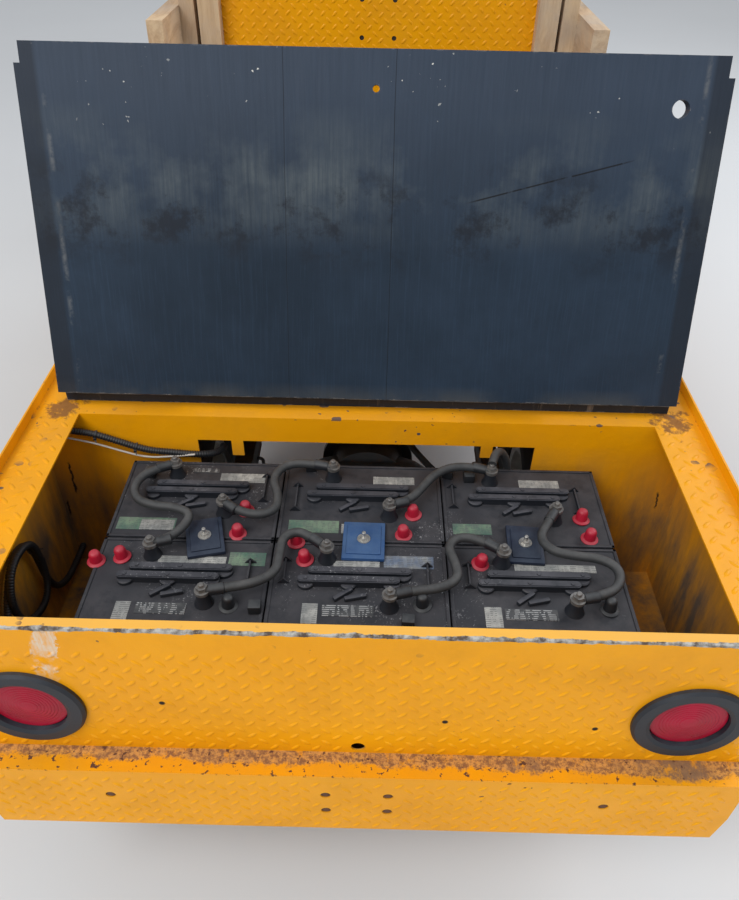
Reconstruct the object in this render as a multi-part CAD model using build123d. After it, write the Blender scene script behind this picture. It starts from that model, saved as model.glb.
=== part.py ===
from build123d import *
import math
import os

# Electric burden carrier, in millimetres.
# +Y is forward, +X is the right-hand side, +Z is up, and Z = 0 is the ground.
# The load deck is at the back, and its rear hatch stands open over six batteries.
# The rear body keeps its distances from the rear face and the cab from the front face,
# so a longer vehicle gets a longer deck.

os.makedirs("parts", exist_ok=True)

# Whole vehicle and clearances
overall_length = 3016
overall_width = 1105
sheet = 3                   # body sheet thickness
seat_gap = 0.3              # clearance between pieces that rest on each other
running_gap = 0.05          # radial clearance of a shaft in its bore
weld = 1                    # overlap where sheets of one piece are welded
through = 1                 # how far a cutting tool runs past the face it cuts

# Distances from the middle plane
rim_width = 76              # the steel deck rim along each side
board_margin = 45.5         # from a side's face to the edge of the boards
side_half = overall_width / 2
inner_half = side_half - sheet
rim_edge = side_half - rim_width
board_half = side_half - board_margin

# Stations that follow the rear face
bumper_depth = 38
bay_length = 434.5
hinge_set_back = 35.5
rear_overhang = 752
pack_set_in = 232           # middle of the batteries from the rear face
rear_face = -(overall_length / 2 - bumper_depth)
bay_front = rear_face + bay_length         # rear face of the wall ahead of the batteries
hinge_y = bay_front + hinge_set_back
rear_axle_y = rear_face + rear_overhang
pack_y = rear_face + pack_set_in

# Stations that follow the front face
front_overhang = 328
well_set_back = 30
well_length = 595
entry_width = 205
seat_base_depth = 395
guard_depth = 95            # space for the timber guard between deck and seat
cowl_depth = 270
front_face = overall_length / 2 - bumper_depth
front_axle_y = front_face - front_overhang
well_front = front_face - well_set_back
well_rear = well_front - well_length
seat_base_front = well_rear - entry_width
seat_base_back = seat_base_front - seat_base_depth
deck_front = seat_base_back - guard_depth
cowl_rear = front_face - cowl_depth

# Heights above the ground
tyre_radius = 235
rail_bottom = 315
rail_height = 40
skirt_bottom = 320
rim_height = 680            # top of the steel deck rim
tray_top = 325
battery_height = 275.5
well_top = 560
seat_box_height = 282
cowl_top = 905
axle_z = tyre_radius
rail_top = rail_bottom + rail_height
floor_top = rail_top + sheet
battery_top = tray_top + battery_height
seat_base_top = floor_top + seat_box_height

# Rear body: side plates, rim, cross members, bay walls and rear plate
rim_lip = 18                # the side plates stand this much above the rim
rear_lip = 17
cross_depth = 50
cross_width = 76
middle_beam_width = 60
front_beam_overlap = 5
bay_opening_bottom = 400
wheel_arch_radius = 278
tab_spans = [               # x from, x to, length of the tabs under the cross member
    (-229, -209, 32), (195, 215, 25),
]

# Bumpers
bumper_top = skirt_bottom + 87.5
bumper_height = 156
bumper_taper = 10           # the bottom corners are drawn in by this much
taper_height = 60
bumper_bottom = bumper_top - bumper_height
outer_bolt_inset = 191.5
bolt_radius = 7.5
bumper_bolts = [            # x, drop below the bumper's top
    (-45.5, 53.5), (45.5, 53.5), (-45.5, 99.5), (45.5, 99.5),
    (-(side_half - outer_bolt_inset), 67.5), (side_half - outer_bolt_inset, 67.5),
]
drain_rise = 15.5           # drain hole above the bumper
drain_radius = 10

# Tail lamps in their rubber grommets
lamp_inset = 102.5
lamp_drop = 170
lamp_x = side_half - lamp_inset
lamp_z = rim_height - lamp_drop
lens_radius = 53
lens_rise = 14
lens_dome = 4
lamp_depth = 34
lamp_hole_radius = 70
grommet_lip = 8             # the grommet covers the hole's edge by this much
grommet_rise = 9
grommet_depth = 22
grommet_round = 4

# Batteries, two rows of three
battery_width = 257
battery_depth = 176.5
battery_space = (2, 2.5)    # gap between neighbours across and along
pack_x = -4.5
pitch_x = battery_width + battery_space[0]
pitch_y = battery_depth + battery_space[1]
cover_depth = 62            # the cover's skirt, which stands out all round
cover_step = 4
case_round = 8
post_a = (-48, 55)          # terminal posts from the middle of a battery
post_b = (44, -32)
post_radius = 8.5
post_height = 12
vent_bars = [               # x from, x to, y, from the middle of a battery
    (-74, 76, 24), (-88, 59, 7),
]
vent_bar_size = 11          # width and height
tray_curb = (4, 30)         # thickness and height of the angle round the batteries
tray_beam = (260, 40, 30)   # x, width, depth of the beams under the tray

# Cords
cord_sides = 6              # the cords' sections are six-sided
cable_height = 25.5         # middle of a jumper above the battery tops
cable_radius = 7
lug_radius = 10
lug_half = 9
loom_radius = 6
cable_z = battery_top + cable_height

# Hold-down pads on the batteries
pads = [                    # x, width
    (-240, 56), (1, 64), (245, 54),
]
pad_half = 38
pad_height = 7
pad_nut = (7, 8)            # radius, height

# Deck boards, lid and hinges
board = 18
lid_length = 514
lid_gap = 4
lid_open_angle = 107.4
lid_notch = (9, 28)         # width, length of the notches at the lid's rear corners
finger_hole = (board_half - 69, 445, 12.5)     # x, distance from the hinge edge, radius
bolt_hole = (4, 463, 5)
hinge_spans = [(-396, -293), (186, 302)]
hinge_pin_radius = 3.5
hinge_knuckle_radius = 6
hinge_leaf = 3
hinge_leaf_reach = 40
hinge_knuckles = 5
knuckle_gap = 0.4
board_top = rim_height + board
hinge_z = board_top + hinge_knuckle_radius

# Timber guard and bulkhead behind the seat
guard_height = 470
post_wide = 38
post_deep = 89
outer_post_inset = 43       # from the boards' edge
inner_post_width = 53
inner_post_deep = 38
post_space = 9
panel_lap = 2               # the inner posts stand out past the panel's edge
rail_drop = 80              # top of the side rails below the guard's top
rail_overhang = 188         # the side rails run back over the deck
panel_holes = [             # x, drop below the guard's top
    (-42, 154), (42, 154), (-42, 66), (42, 66),
]
panel_hole_radius = 6
guard_top = rim_height + guard_height
outer_post_x = board_half - outer_post_inset
inner_post_x = outer_post_x - post_space - inner_post_width
side_rail_top = guard_top - rail_drop

# Seat
cushion_inset = 14
cushion_thickness = 95
cushion_set_in = 12
cushion_nose = 10
cushion_round = 16
back_thickness = 70
back_low = 160              # above the seat box
back_high = 475
cushion_half = outer_post_x - cushion_inset

# Wheels and frame
tyre_width = 140
bead_radius = 101.6
bead_half = 46
rim_flange_radius = 117
rim_flange_half = 50
rim_sheet = 4
wheel_nut_circle = 54
wheel_nut = (10, 16)        # radius across the corners, height
hub_bore_radius = 20
hub_reach = 50              # the stub ends this much outside the wheel's middle, less the cap
rear_wheel_inset = 152.5
front_wheel_inset = 112.5
kingpin_offset = 90         # from the wheel's middle
rear_rail_offset = 130      # from the wheel's middle
front_rail_offset = 145     # from the king pin
bay_opening_margin = 16     # from the rail's middle
well_clearance = 118        # from the king pin to the floor's edge
rear_wheel_x = side_half - rear_wheel_inset
front_wheel_x = side_half - front_wheel_inset
kingpin_x = front_wheel_x - kingpin_offset
rear_rail_x = rear_wheel_x - rear_rail_offset
front_rail_x = kingpin_x - front_rail_offset
bay_opening_half = rear_rail_x + bay_opening_margin
well_half = kingpin_x - well_clearance
rail_width = 38
rail_set_back = 40
rail_overlap = 100
cross_member_half = 25
cross_offsets = (418, 30, 120)
cross_members = [rear_axle_y + cross_offsets[0], deck_front + cross_offsets[1], well_rear - cross_offsets[2]]

# Leaf springs
spring_width = 28
spring_leaf = 7
spring_reach = 255
spring_seat = 268
spring_radius = 2300        # camber of the lowest leaf
short_leaves = [110, 185]   # half lengths, from the lowest up
eye_bore = 6
eye_wall = 5
eye_play = 0.2
hanger_sheet = 6
hanger_half = 14
hanger_gap = 1
seat_half = (24, 40)
spring_middle = spring_radius - (len(short_leaves) + 0.5) * spring_leaf
spring_centre_z = spring_seat + seat_gap + spring_radius
spring_eye_z = spring_centre_z - math.sqrt(spring_middle ** 2 - spring_reach ** 2)

# Rear axle and motor
tube_radius = 32
housing_radius = 82
motor_z = axle_z + 27
motor_radius = 98
motor_length = 270
motor_flange = 85           # the motor's mounting face ahead of the axle
terminal_x = 44
terminal_half = (20, 30)
motor_top = motor_z + 96
motor_start = rear_axle_y + motor_flange + seat_gap

# Front axle and steering
beam_half = (22, 26)        # half depth, half height
kingpin_radius = 11
boss_radius = 21
boss_half = 45
ear = 17
knuckle_reach = boss_half + ear
web = (26, 40)              # the knuckle's web, from the king pin outwards
arm_half = 8
arm_thick = 12
arm_eye = 13
steer_arm = 130
pin_radius = 6
link_half = 9
link_eye = 15
link_rod_radius = 8
pitman_offset = 80          # from the left rail's middle
pitman_lead = 70            # ahead of the axle
pitman_x = -(front_rail_x - pitman_offset)
pitman_y = front_axle_y + pitman_lead
pitman_shaft_radius = 10
gear_box_bottom = 262
gear_box_depth = 26
gear_box_lap = (30, 26, 7)  # outside the pitman shaft, behind it, ahead of the column's foot
gear_box_round = 14
column_offset = 45          # from the left rail's middle
wheel_reach = 350           # behind the cowl's rear edge
wheel_rise = 725            # above the floor
column_foot = 60            # the column ends this much above the gear box's bottom
steering_x = -(front_rail_x - column_offset)
steering_wheel_y = cowl_rear - wheel_reach
steering_wheel_z = floor_top + wheel_rise
steering_lean = 34
steering_wheel_radius = 190
grip_radius = 12
column_radius = 22
column_start = 44
bearing = (30, 90)          # radius, length of the column's top bearing
wheel_shaft_radius = 10
wheel_shaft_length = 70
bracket_rise = 442
bracket = (15, 20)          # half width, height
bracket_z = floor_top + bracket_rise
link_z = axle_z - knuckle_reach - link_half - seat_gap
column_axis = (0, -math.sin(math.radians(steering_lean)), math.cos(math.radians(steering_lean)))

# Cab sheet metal and lamps
fender_depth = 62
floor_edge = 50
cowl_bottom = 300
cowl_shoulder = 790
brow_depth = 70
cowl_fall = 30              # the cowl's top falls this much towards the driver
cowl_fold = 25
cheek_cut = (100, 30)       # bevel at the foot of the cheeks' rear edge
headlamp_inset = 167.5
headlamp_z = 665
headlamp_radius = 84
headlamp_wall = 8
headlamp_depth = 90
bezel = (10, 14)            # width, rise of the rim round a headlamp
glass_dome = 8
headlamp_x = side_half - headlamp_inset
dash_height = 179
dash_drop = 36


def block(x, y, z):
    """A box between the low and high values along each axis."""
    size = [b - a for a, b in (x, y, z)]
    middle = [(a + b) / 2 for a, b in (x, y, z)]
    return Pos(*middle) * Box(*size)


def rod_x(x, y, z, radius):
    return Pos((x[0] + x[1]) / 2, y, z) * Rot(0, 90, 0) * Cylinder(radius, x[1] - x[0])


def rod_y(x, y, z, radius):
    return Pos(x, (y[0] + y[1]) / 2, z) * Rot(90, 0, 0) * Cylinder(radius, y[1] - y[0])


def rod_z(x, y, z, radius):
    return Pos(x, y, (z[0] + z[1]) / 2) * Cylinder(radius, z[1] - z[0])


def turned_x(profile, x, y, z):
    """A solid turned about a line along X, from (distance along it, radius)."""
    return Pos(x, y, z) * revolve(Plane.XZ * Polygon(*profile, align=None), axis=Axis.X)


def turned_y(profile, x, y, z):
    """A solid turned about a line along Y, from (distance along it, radius)."""
    return Pos(x, y, z) * revolve(Plane.YZ * Polygon(*profile, align=None), axis=Axis.Y)


def side_profile(points, x):
    """A (y, z) outline, or a sketch of one, pushed out along X."""
    outline = Polygon(*points, align=None) if isinstance(points, list) else points
    return extrude(Plane.YZ.offset(x[0]) * outline, amount=x[1] - x[0], dir=(1, 0, 0))


def end_profile(points, y):
    """An (x, z) outline pushed out along Y."""
    plane = Plane(origin=(0, y[0], 0), x_dir=(1, 0, 0), z_dir=(0, -1, 0))
    return extrude(plane * Polygon(*points, align=None), amount=y[1] - y[0], dir=(0, 1, 0))


def both_sides(shape):
    return shape + mirror(shape, Plane.YZ)


def around(middle, half):
    return (middle - half, middle + half)


def dome(radius, rise, y, x, z, sign):
    """A shallow cap of a ball on a disc that faces along Y; sign points to its top."""
    ball = (radius ** 2 + rise ** 2) / (2 * rise)
    cap = Pos(x, y - sign * (ball - rise), z) * Sphere(ball)
    return cap & rod_y(x, sorted((y, y + sign * (rise + through))), z, radius)


def tube_along(points, radius):
    """A cord through hand-picked points, with the largest arcs its runs allow."""
    runs = [Vector(*b) - Vector(*a) for a, b in zip(points, points[1:])]
    radii = []
    for before, after in zip(runs, runs[1:]):
        turn = math.radians(before.get_angle(after))
        radii.append(0.45 * min(before.length, after.length) / math.tan(turn / 2))
    path = FilletPolyline(*points, radius=radii)
    start = Plane(origin=points[0], z_dir=path.tangent_at(0))
    print("cord", round(path.length), "mm, tightest arc", round(min(radii)), "mm")
    return sweep(start * RegularPolygon(radius, cord_sides), path=path)


nodes = {}


# Frame, springs and their hangers
def spring_hanger(x, y):
    """Two cheeks with round ends, and the pin through the spring's eye."""
    half = spring_width / 2 + hanger_gap + hanger_sheet
    hanger = rod_x(around(x, half), y, spring_eye_z, eye_bore - eye_play)
    for edge in (x - half, x + half - hanger_sheet):
        across = (edge, edge + hanger_sheet)
        hanger += block(across, around(y, hanger_half), (spring_eye_z, rail_bottom + weld))
        hanger += rod_x(across, y, spring_eye_z, hanger_half)
    return hanger


def frame_rails():
    """Box-section rails from the battery bay to the front, joined by cross members."""
    high = (rail_bottom, rail_top)
    rear_end = well_rear - rail_set_back
    rails = both_sides(block(around(rear_rail_x, rail_width / 2), (bay_front + sheet, rear_end), high))
    rails += both_sides(block(around(front_rail_x, rail_width / 2),
                              (rear_end - rail_overlap, front_face - sheet), high))
    for y in cross_members:
        rails += block(around(0, rear_rail_x + rail_width / 2), around(y, cross_member_half), high)
    for x, axle_y in ((rear_rail_x, rear_axle_y), (front_rail_x, front_axle_y)):
        for end in (-1, 1):
            rails += both_sides(spring_hanger(x, axle_y + end * spring_reach))
    return rails


def leaf_spring(x, axle_y):
    """Leaves on one camber, the lowest on the axle's seat, the longest with rolled eyes."""
    across = around(x, spring_width / 2)
    pack = None
    for number, half in enumerate(short_leaves + [spring_reach]):
        outer = spring_radius - number * spring_leaf
        ring = Circle(outer) - Circle(outer - spring_leaf)
        band = Pos(axle_y, spring_centre_z) * (ring & Pos(0, -outer) * Rectangle(2 * half, outer))
        leaf = side_profile(band, across)
        pack = leaf if pack is None else pack + leaf
    for end in (-1, 1):
        y = axle_y + end * spring_reach
        pack += rod_x(across, y, spring_eye_z, eye_bore + eye_wall)
        pack -= rod_x(around(x, spring_width / 2 + through), y, spring_eye_z, eye_bore)
    return pack


# Rear body of welded sheet
def side_panels():
    """Each side's skirt with its wheel arch, and the deck rim folded in from it."""
    front = seat_base_back - seat_gap
    side = block((inner_half, side_half), (rear_face, front), (skirt_bottom, rim_height + rim_lip))
    side -= rod_x((inner_half - through, side_half + through), rear_axle_y, axle_z, wheel_arch_radius)
    side += block((rim_edge, inner_half + weld), (rear_face + rear_lip, front),
                  (rim_height - sheet, rim_height))
    return both_sides(side)


def rear_plate():
    """The rear face, folded forward at the top, with the holes of the tail lamps and the drain."""
    across = (-inner_half, inner_half)
    cut = (rear_face - through, rear_face + sheet + through)
    plate = block(across, (rear_face, rear_face + sheet), (skirt_bottom, rim_height))
    plate += block(across, (rear_face, rear_face + rear_lip), (rim_height - sheet, rim_height))
    plate -= both_sides(rod_y(lamp_x, cut, lamp_z, lamp_hole_radius))
    return plate - rod_y(0, cut, bumper_top + drain_rise, drain_radius)


def cross_beam(near, far):
    """An upside-down channel between the sides, level with the deck rim and notched under it."""
    bottom = rim_height - cross_depth
    beam = block((-inner_half, inner_half), (near, far), (bottom, rim_height - sheet))
    beam += block((-rim_edge, rim_edge), (near, far), (bottom, rim_height))
    for half, top in ((inner_half, rim_height - sheet), (rim_edge, rim_height)):
        beam -= block((-half + sheet, half - sheet), (near + sheet, far - sheet),
                      (bottom - through, top - sheet))
    return beam


def bay_wall():
    """The wall ahead of the batteries: a guard each side, a sill, and the cross member with its tabs."""
    along = (bay_front, bay_front + sheet)
    beam_bottom = rim_height - cross_depth
    wall = cross_beam(bay_front, bay_front + cross_width)
    wall += both_sides(block((bay_opening_half, inner_half), along, (skirt_bottom, beam_bottom + weld)))
    wall += block(around(0, bay_opening_half + weld), along, (skirt_bottom, bay_opening_bottom))
    for low, high, length in tab_spans:
        wall += block((low, high), along, (beam_bottom - length, beam_bottom + weld))
    return wall


def deck_beams():
    middle = (bay_front + deck_front) / 2
    return (cross_beam(*around(middle, middle_beam_width / 2))
            + cross_beam(deck_front - front_beam_overlap, seat_base_back - seat_gap))


def bumper_shell(sign, face_y):
    """A folded channel with closed ends, standing out from a body face."""
    corners = [             # distance in from the side, height
        (0, bumper_top), (1, bumper_bottom + taper_height), (bumper_taper, bumper_bottom),
    ]
    outer = [(side_half - inset, z) for inset, z in corners]
    inner = [(side_half - sheet, bumper_top - sheet), (side_half - sheet - 1, bumper_bottom + taper_height),
             (side_half - sheet - bumper_taper, bumper_bottom + sheet)]
    shell = end_profile(outer + [(-x, z) for x, z in reversed(outer)],
                        sorted((face_y, face_y + sign * bumper_depth)))
    return shell - end_profile(inner + [(-x, z) for x, z in reversed(inner)],
                               sorted((face_y - sign, face_y + sign * (bumper_depth - sheet))))


def rear_bumper():
    shell = bumper_shell(-1, rear_face)
    outside = rear_face - bumper_depth
    for x, drop in bumper_bolts:
        shell -= rod_y(x, (outside - through, outside + sheet + through), bumper_top - drop, bolt_radius)
    return shell


def front_bumper():
    return bumper_shell(1, front_face)


# Batteries, their tray, cords and hold-downs
def battery_tray():
    """The floor of the bay on two beams, with an angle standing round the batteries."""
    along = (rear_face + sheet, bay_front)
    thick, high = tray_curb
    half_x = 1.5 * pitch_x + battery_space[0]
    half_y = pitch_y + battery_space[0]
    tray = block((-inner_half, inner_half), along, (tray_top - sheet, tray_top))
    curb = block(around(pack_x, half_x + thick), around(pack_y, half_y + thick),
                 (tray_top - weld, tray_top + high))
    curb -= block(around(pack_x, half_x), around(pack_y, half_y),
                  (tray_top - 2 * weld, tray_top + high + through))
    beam_x, beam_width, beam_depth = tray_beam
    beam = block(around(beam_x, beam_width / 2), along, (tray_top - sheet - beam_depth, tray_top - weld))
    return tray + curb + both_sides(beam)


def battery(column, row):
    """A tall case with a wider cover, two vent bars and two posts."""
    x, y = pack_x + column * pitch_x, pack_y + row * pitch_y / 2
    half_x, half_y = battery_width / 2, battery_depth / 2
    case = block(around(x, half_x - cover_step), around(y, half_y - cover_step),
                 (tray_top, battery_top - cover_depth + weld))
    case += block(around(x, half_x), around(y, half_y), (battery_top - cover_depth, battery_top))
    upright = case.edges().filter_by(Axis.Z).sort_by(Axis.X)
    case = fillet(upright[:2] + upright[-2:], case_round)
    for low, high, offset in vent_bars:
        bar = extrude(SlotOverall(high - low, vent_bar_size), amount=vent_bar_size)
        case += Pos(x + (low + high) / 2, y + offset, battery_top) * bar
    for post_x, post_y in (post_a, post_b):
        case += rod_z(x + post_x, y + post_y, (battery_top - weld, battery_top + post_height), post_radius)
    return case


def post_at(column, row, post):
    """The middle of a jumper's lug over a terminal post."""
    return (pack_x + column * pitch_x + post[0], pack_y + row * pitch_y / 2 + post[1], cable_z)


def battery_cables():
    """Jumpers in series from battery to battery, and the lead down to the motor."""
    jumpers = [             # first post, points between as x and distance ahead of the rear face, last post
        (post_at(-1, 1, post_a), [(-350, 358), (-367, 325), (-357, 291), (-325, 276), (-290, 274),
         (-263, 260), (-270, 230), (-292, 204)], post_at(-1, -1, post_a)),
        (post_at(-1, 1, post_b), [(-196, 270), (-160, 260), (-134, 275), (-136, 310), (-148, 342),
         (-138, 374), (-105, 388)], post_at(0, 1, post_a)),
        (post_at(-1, -1, post_b), [(-190, 117), (-150, 126), (-121, 148), (-120, 184), (-119, 216),
         (-98, 230), (-75, 216)], post_at(0, -1, post_a)),
        (post_at(0, 1, post_b), [(70, 300), (92, 332), (112, 364), (140, 384), (175, 386)],
         post_at(1, 1, post_a)),
        (post_at(0, -1, post_b), [(72, 120), (108, 124), (137, 142), (134, 174), (124, 204),
         (142, 226), (176, 220)], post_at(1, -1, post_a)),
        (post_at(1, 1, post_b), [(280, 258), (263, 226), (278, 200), (312, 192), (348, 188),
         (370, 168), (362, 136), (334, 118)], post_at(1, -1, post_b)),
    ]
    harness = None
    for first, between, last in jumpers:
        cord = tube_along([first] + [(x, rear_face + y, cable_z) for x, y in between] + [last], cable_radius)
        for x, y, _ in (first, last):
            cord += rod_z(x, y, (battery_top + post_height + seat_gap, cable_z + lug_half), lug_radius)
        harness = cord if harness is None else harness + cord
    x, y, z = post_at(1, 1, post_a)
    lead = [                # x, distance ahead of the rear face, height
        (212, 397, 646), (225, 414, 638), (238, 421, 614), (244, 422, 581), (244, 421.5, 544),
        (240, 430, 508), (226, 454, 478), (200, 494, 454), (166, 548, 438), (132, 608, 426),
        (104, 670, 416), (80, 732, 408), (60, 788, 400), (48, 830, 390), (44, 856, 370), (44, 874, 366),
    ]
    route = [(x, y, z + 15)] + [(a, rear_face + b, c) for a, b, c in lead]
    return harness + tube_along(route, cable_radius) + rod_z(x, y, (z, z + 24), lug_radius)


def hold_downs():
    """Pads that bridge the two rows, each with its nut."""
    shape = None
    pad_top = battery_top + pad_height
    for x, width in pads:
        pad = block(around(x, width / 2), around(pack_y, pad_half), (battery_top + seat_gap, pad_top))
        pad += rod_z(x, pack_y, (pad_top - weld, pad_top + pad_nut[1]), pad_nut[0])
        shape = pad if shape is None else shape + pad
    return shape


def wiring_loom():
    """The lamp wiring over the bay wall, and beside the left tail lamp."""
    over_wall = [           # x, distance ahead of the rear face, height
        (-547.5, 421, 662), (-522, 421, 656), (-490, 421, 654), (-455, 421, 649), (-415, 421, 633),
        (-372, 421, 616), (-330, 422, 612), (-290, 424, 606), (-262, 440, 596), (-250, 470, 584),
        (-262, 508, 560), (-270, 540, 520), (-270, 570, 470), (-270, 590, 415),
        (-270, 590, rail_top + seat_gap),
    ]
    beside_lamp = [
        (-452, lamp_depth + seat_gap, 508), (-452, 58, 508), (-472, 76, 496), (-500, 94, 476),
        (-527, 124, 478), (-537, 152, 510), (-537, 180, 546), (-537, 218, 568), (-537, 254, 556),
        (-537, 274, 520),
        (-537, 278, 478), (-537, 284, 432), (-537, 306, 392), (-537, 346, 370), (-537, 390, 366),
        (-537, 433.5, 366),
    ]
    wires = [tube_along([(x, rear_face + y, z) for x, y, z in route], loom_radius)
             for route in (over_wall, beside_lamp)]
    return wires[0] + wires[1]


# Deck board, and the lid on its hinges
def deck_board():
    return block((-board_half, board_half), (hinge_y + lid_gap / 2, deck_front - seat_gap),
                 (rim_height, board_top))


def knuckle_spans(low, high):
    """The spans along the pin of a hinge's knuckles: those of the fixed leaf, then the moving one."""
    step = (high - low) / hinge_knuckles
    spans = [(low + i * step + knuckle_gap / 2, low + (i + 1) * step - knuckle_gap / 2)
             for i in range(hinge_knuckles)]
    return spans[0::2], spans[1::2]


def hinge_half(sign, low, high, spans):
    """One leaf on the boards with its knuckles; sign points from the pin to the leaf."""
    root = hinge_knuckle_radius + 1
    on_board = (board_top, board_top + hinge_leaf)
    leaf = block((low, high), sorted((hinge_y + sign * root, hinge_y + sign * hinge_leaf_reach)), on_board)
    for span in spans:
        leaf += rod_x(span, hinge_y, hinge_z, hinge_knuckle_radius)
        leaf += block(span, sorted((hinge_y, hinge_y + sign * (root + weld))), on_board)
    return leaf


def deck_hinges():
    """The fixed leaves, which hold the pins."""
    shape = None
    for low, high in hinge_spans:
        leaf = hinge_half(1, low, high, knuckle_spans(low, high)[0])
        leaf += rod_x((low, high), hinge_y, hinge_z, hinge_pin_radius)
        shape = leaf if shape is None else shape + leaf
    return shape


def opened(shape):
    """Turn a piece from the closed lid to its open stop."""
    return shape.rotate(Axis((0, hinge_y, hinge_z), (1, 0, 0)), -lid_open_angle)


def battery_lid():
    """The hatch board with its rear corner notches, finger hole and bolt hole, standing open."""
    edge = hinge_y - lid_gap / 2
    rear = edge - lid_length
    cut = (rim_height - through, board_top + through)
    lid = block((-board_half, board_half), (rear, edge), (rim_height, board_top))
    lid -= both_sides(block((board_half - lid_notch[0], board_half + through),
                            (rear - through, rear + lid_notch[1]), cut))
    for x, reach, radius in (finger_hole, bolt_hole):
        lid -= rod_z(x, edge - reach, cut, radius)
    return opened(lid)


def lid_hinges():
    """The moving leaves, whose knuckles are bored to turn on the fixed pins."""
    shape = None
    for low, high in hinge_spans:
        moving = knuckle_spans(low, high)[1]
        leaf = hinge_half(-1, low, high, moving)
        leaf -= rod_x((low, high), hinge_y, hinge_z, hinge_pin_radius + running_gap)
        shape = leaf if shape is None else shape + leaf
    return opened(shape)


# Timber guard and the tread-plate bulkhead behind the seat
def bulkhead():
    back = deck_front + inner_post_deep
    half = inner_post_x + inner_post_width - panel_lap
    panel = block((-half, half), (back, back + sheet), (rim_height, guard_top))
    for x, drop in panel_holes:
        panel -= rod_y(x, (back - through, back + sheet + through), guard_top - drop, panel_hole_radius)
    return panel


def timber_posts():
    outer_x = (outer_post_x, outer_post_x + post_wide)
    outer = block(outer_x, (deck_front, deck_front + post_deep), (rim_height, guard_top))
    inner = block((inner_post_x, inner_post_x + inner_post_width), (deck_front, deck_front + inner_post_deep),
                  (rim_height, guard_top))
    front = block(outer_x, (seat_base_front - post_deep, seat_base_front), (seat_base_top, side_rail_top))
    return both_sides(outer + inner + front)


def timber_rails():
    return both_sides(block((outer_post_x + post_wide, outer_post_x + 2 * post_wide),
                            (deck_front - rail_overhang, seat_base_front),
                            (side_rail_top - post_deep, side_rail_top)))


# Seat
def seat_base():
    """The seat box, open below."""
    box = block((-side_half, side_half), (seat_base_back, seat_base_front), (rail_top, seat_base_top))
    return box - block((-inner_half, inner_half), (seat_base_back + sheet, seat_base_front - sheet),
                       (rail_top - through, seat_base_top - sheet))


def soft_block(x, y, z):
    pad = block(x, y, z)
    return fillet(pad.edges(), cushion_round)


def seat_cushion():
    low = seat_base_top + seat_gap
    return soft_block((-cushion_half, cushion_half),
                      (seat_base_back + cushion_set_in, seat_base_front + cushion_nose),
                      (low, low + cushion_thickness))


def seat_back():
    back = deck_front + inner_post_deep + sheet + seat_gap
    return soft_block((-cushion_half, cushion_half), (back, back + back_thickness),
                      (seat_base_top + back_low, seat_base_top + back_high))


# Cab: floor, wheel wells, cowl, lamps and dash
def floor_pan():
    """The flat floor, which narrows between the wheel wells, with a hole for the steering column."""
    high = (floor_top - sheet, floor_top)
    floor = block((-side_half, side_half), (seat_base_front, well_rear), high)
    floor += block((-well_half, well_half), (well_rear - weld, front_face - sheet - seat_gap), high)
    floor += both_sides(block((inner_half, side_half), (seat_base_front, well_rear),
                              (floor_top - floor_edge, floor_top)))
    reach = (steering_wheel_z - floor_top) / column_axis[2]
    hole = Plane(origin=along_column(reach), z_dir=column_axis) * Cylinder(column_radius + through, 60)
    return floor - hole


def wheel_wells():
    """A box over each front wheel, open below and to the side, with a fender along its edge."""
    along = (well_rear, well_front)
    high = (floor_top - sheet, well_top)
    well = block((well_half, well_half + sheet), along, high)
    well += block((well_half, side_half), (well_rear, well_rear + sheet), high)
    well += block((well_half, side_half), (well_front - sheet, well_front), high)
    well += block((well_half, side_half), along, (well_top - sheet, well_top))
    well += block((inner_half, side_half), along, (well_top - fender_depth, well_top))
    return both_sides(well)


def cowl_face(reach):
    """The cowl's side outline with rounded folds; its open edges behind and below run on by reach."""
    top_depth = cowl_depth - brow_depth
    rear_top = cowl_top - cowl_fall * (top_depth + reach) / top_depth
    crown, shoulder = (front_face - brow_depth, cowl_top), (front_face, cowl_shoulder)
    face = Polygon((cowl_rear - reach, rear_top), crown, shoulder, (front_face, cowl_bottom - reach),
                   (well_front - reach, cowl_bottom - reach), (well_front - reach, well_top - reach),
                   (cowl_rear + cheek_cut[0] - reach, well_top - reach),
                   (cowl_rear - reach, well_top + cheek_cut[1] - reach), align=None)
    folds = [face.vertices().sort_by_distance((y, z, 0))[0] for y, z in (crown, shoulder)]
    return fillet(folds, cowl_fold)


def cowl():
    """The folded nose of the cab: front wall, sloped brow, top and side cheeks."""
    hollow = offset(cowl_face(50), amount=-sheet)
    shell = side_profile(cowl_face(0), (-side_half, side_half))
    shell -= side_profile(hollow, (-inner_half, inner_half))
    hole = rod_y(headlamp_x, (front_face - 2 * sheet, front_face + through), headlamp_z,
                 headlamp_radius + through)
    return shell - both_sides(hole)


def headlamp_shells():
    """Round buckets behind the front wall, each with a bezel on it."""
    face, inside = headlamp_radius + bezel[0], headlamp_radius - headlamp_wall
    profile = [(-headlamp_depth, 0), (-headlamp_depth, headlamp_radius * 0.6),
               (-headlamp_depth / 2, headlamp_radius), (seat_gap, headlamp_radius),
               (seat_gap, face), (bezel[1] - 5, face), (bezel[1], face - 5),
               (bezel[1], inside), (-30, inside), (-30, 0)]
    return both_sides(turned_y(profile, headlamp_x, front_face, headlamp_z))


def headlamp_lenses():
    radius = headlamp_radius - headlamp_wall - seat_gap
    glass = rod_y(headlamp_x, (front_face - 20, front_face + weld), headlamp_z, radius)
    glass += dome(radius, glass_dome, front_face + weld, headlamp_x, headlamp_z, 1)
    return both_sides(glass)


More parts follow.
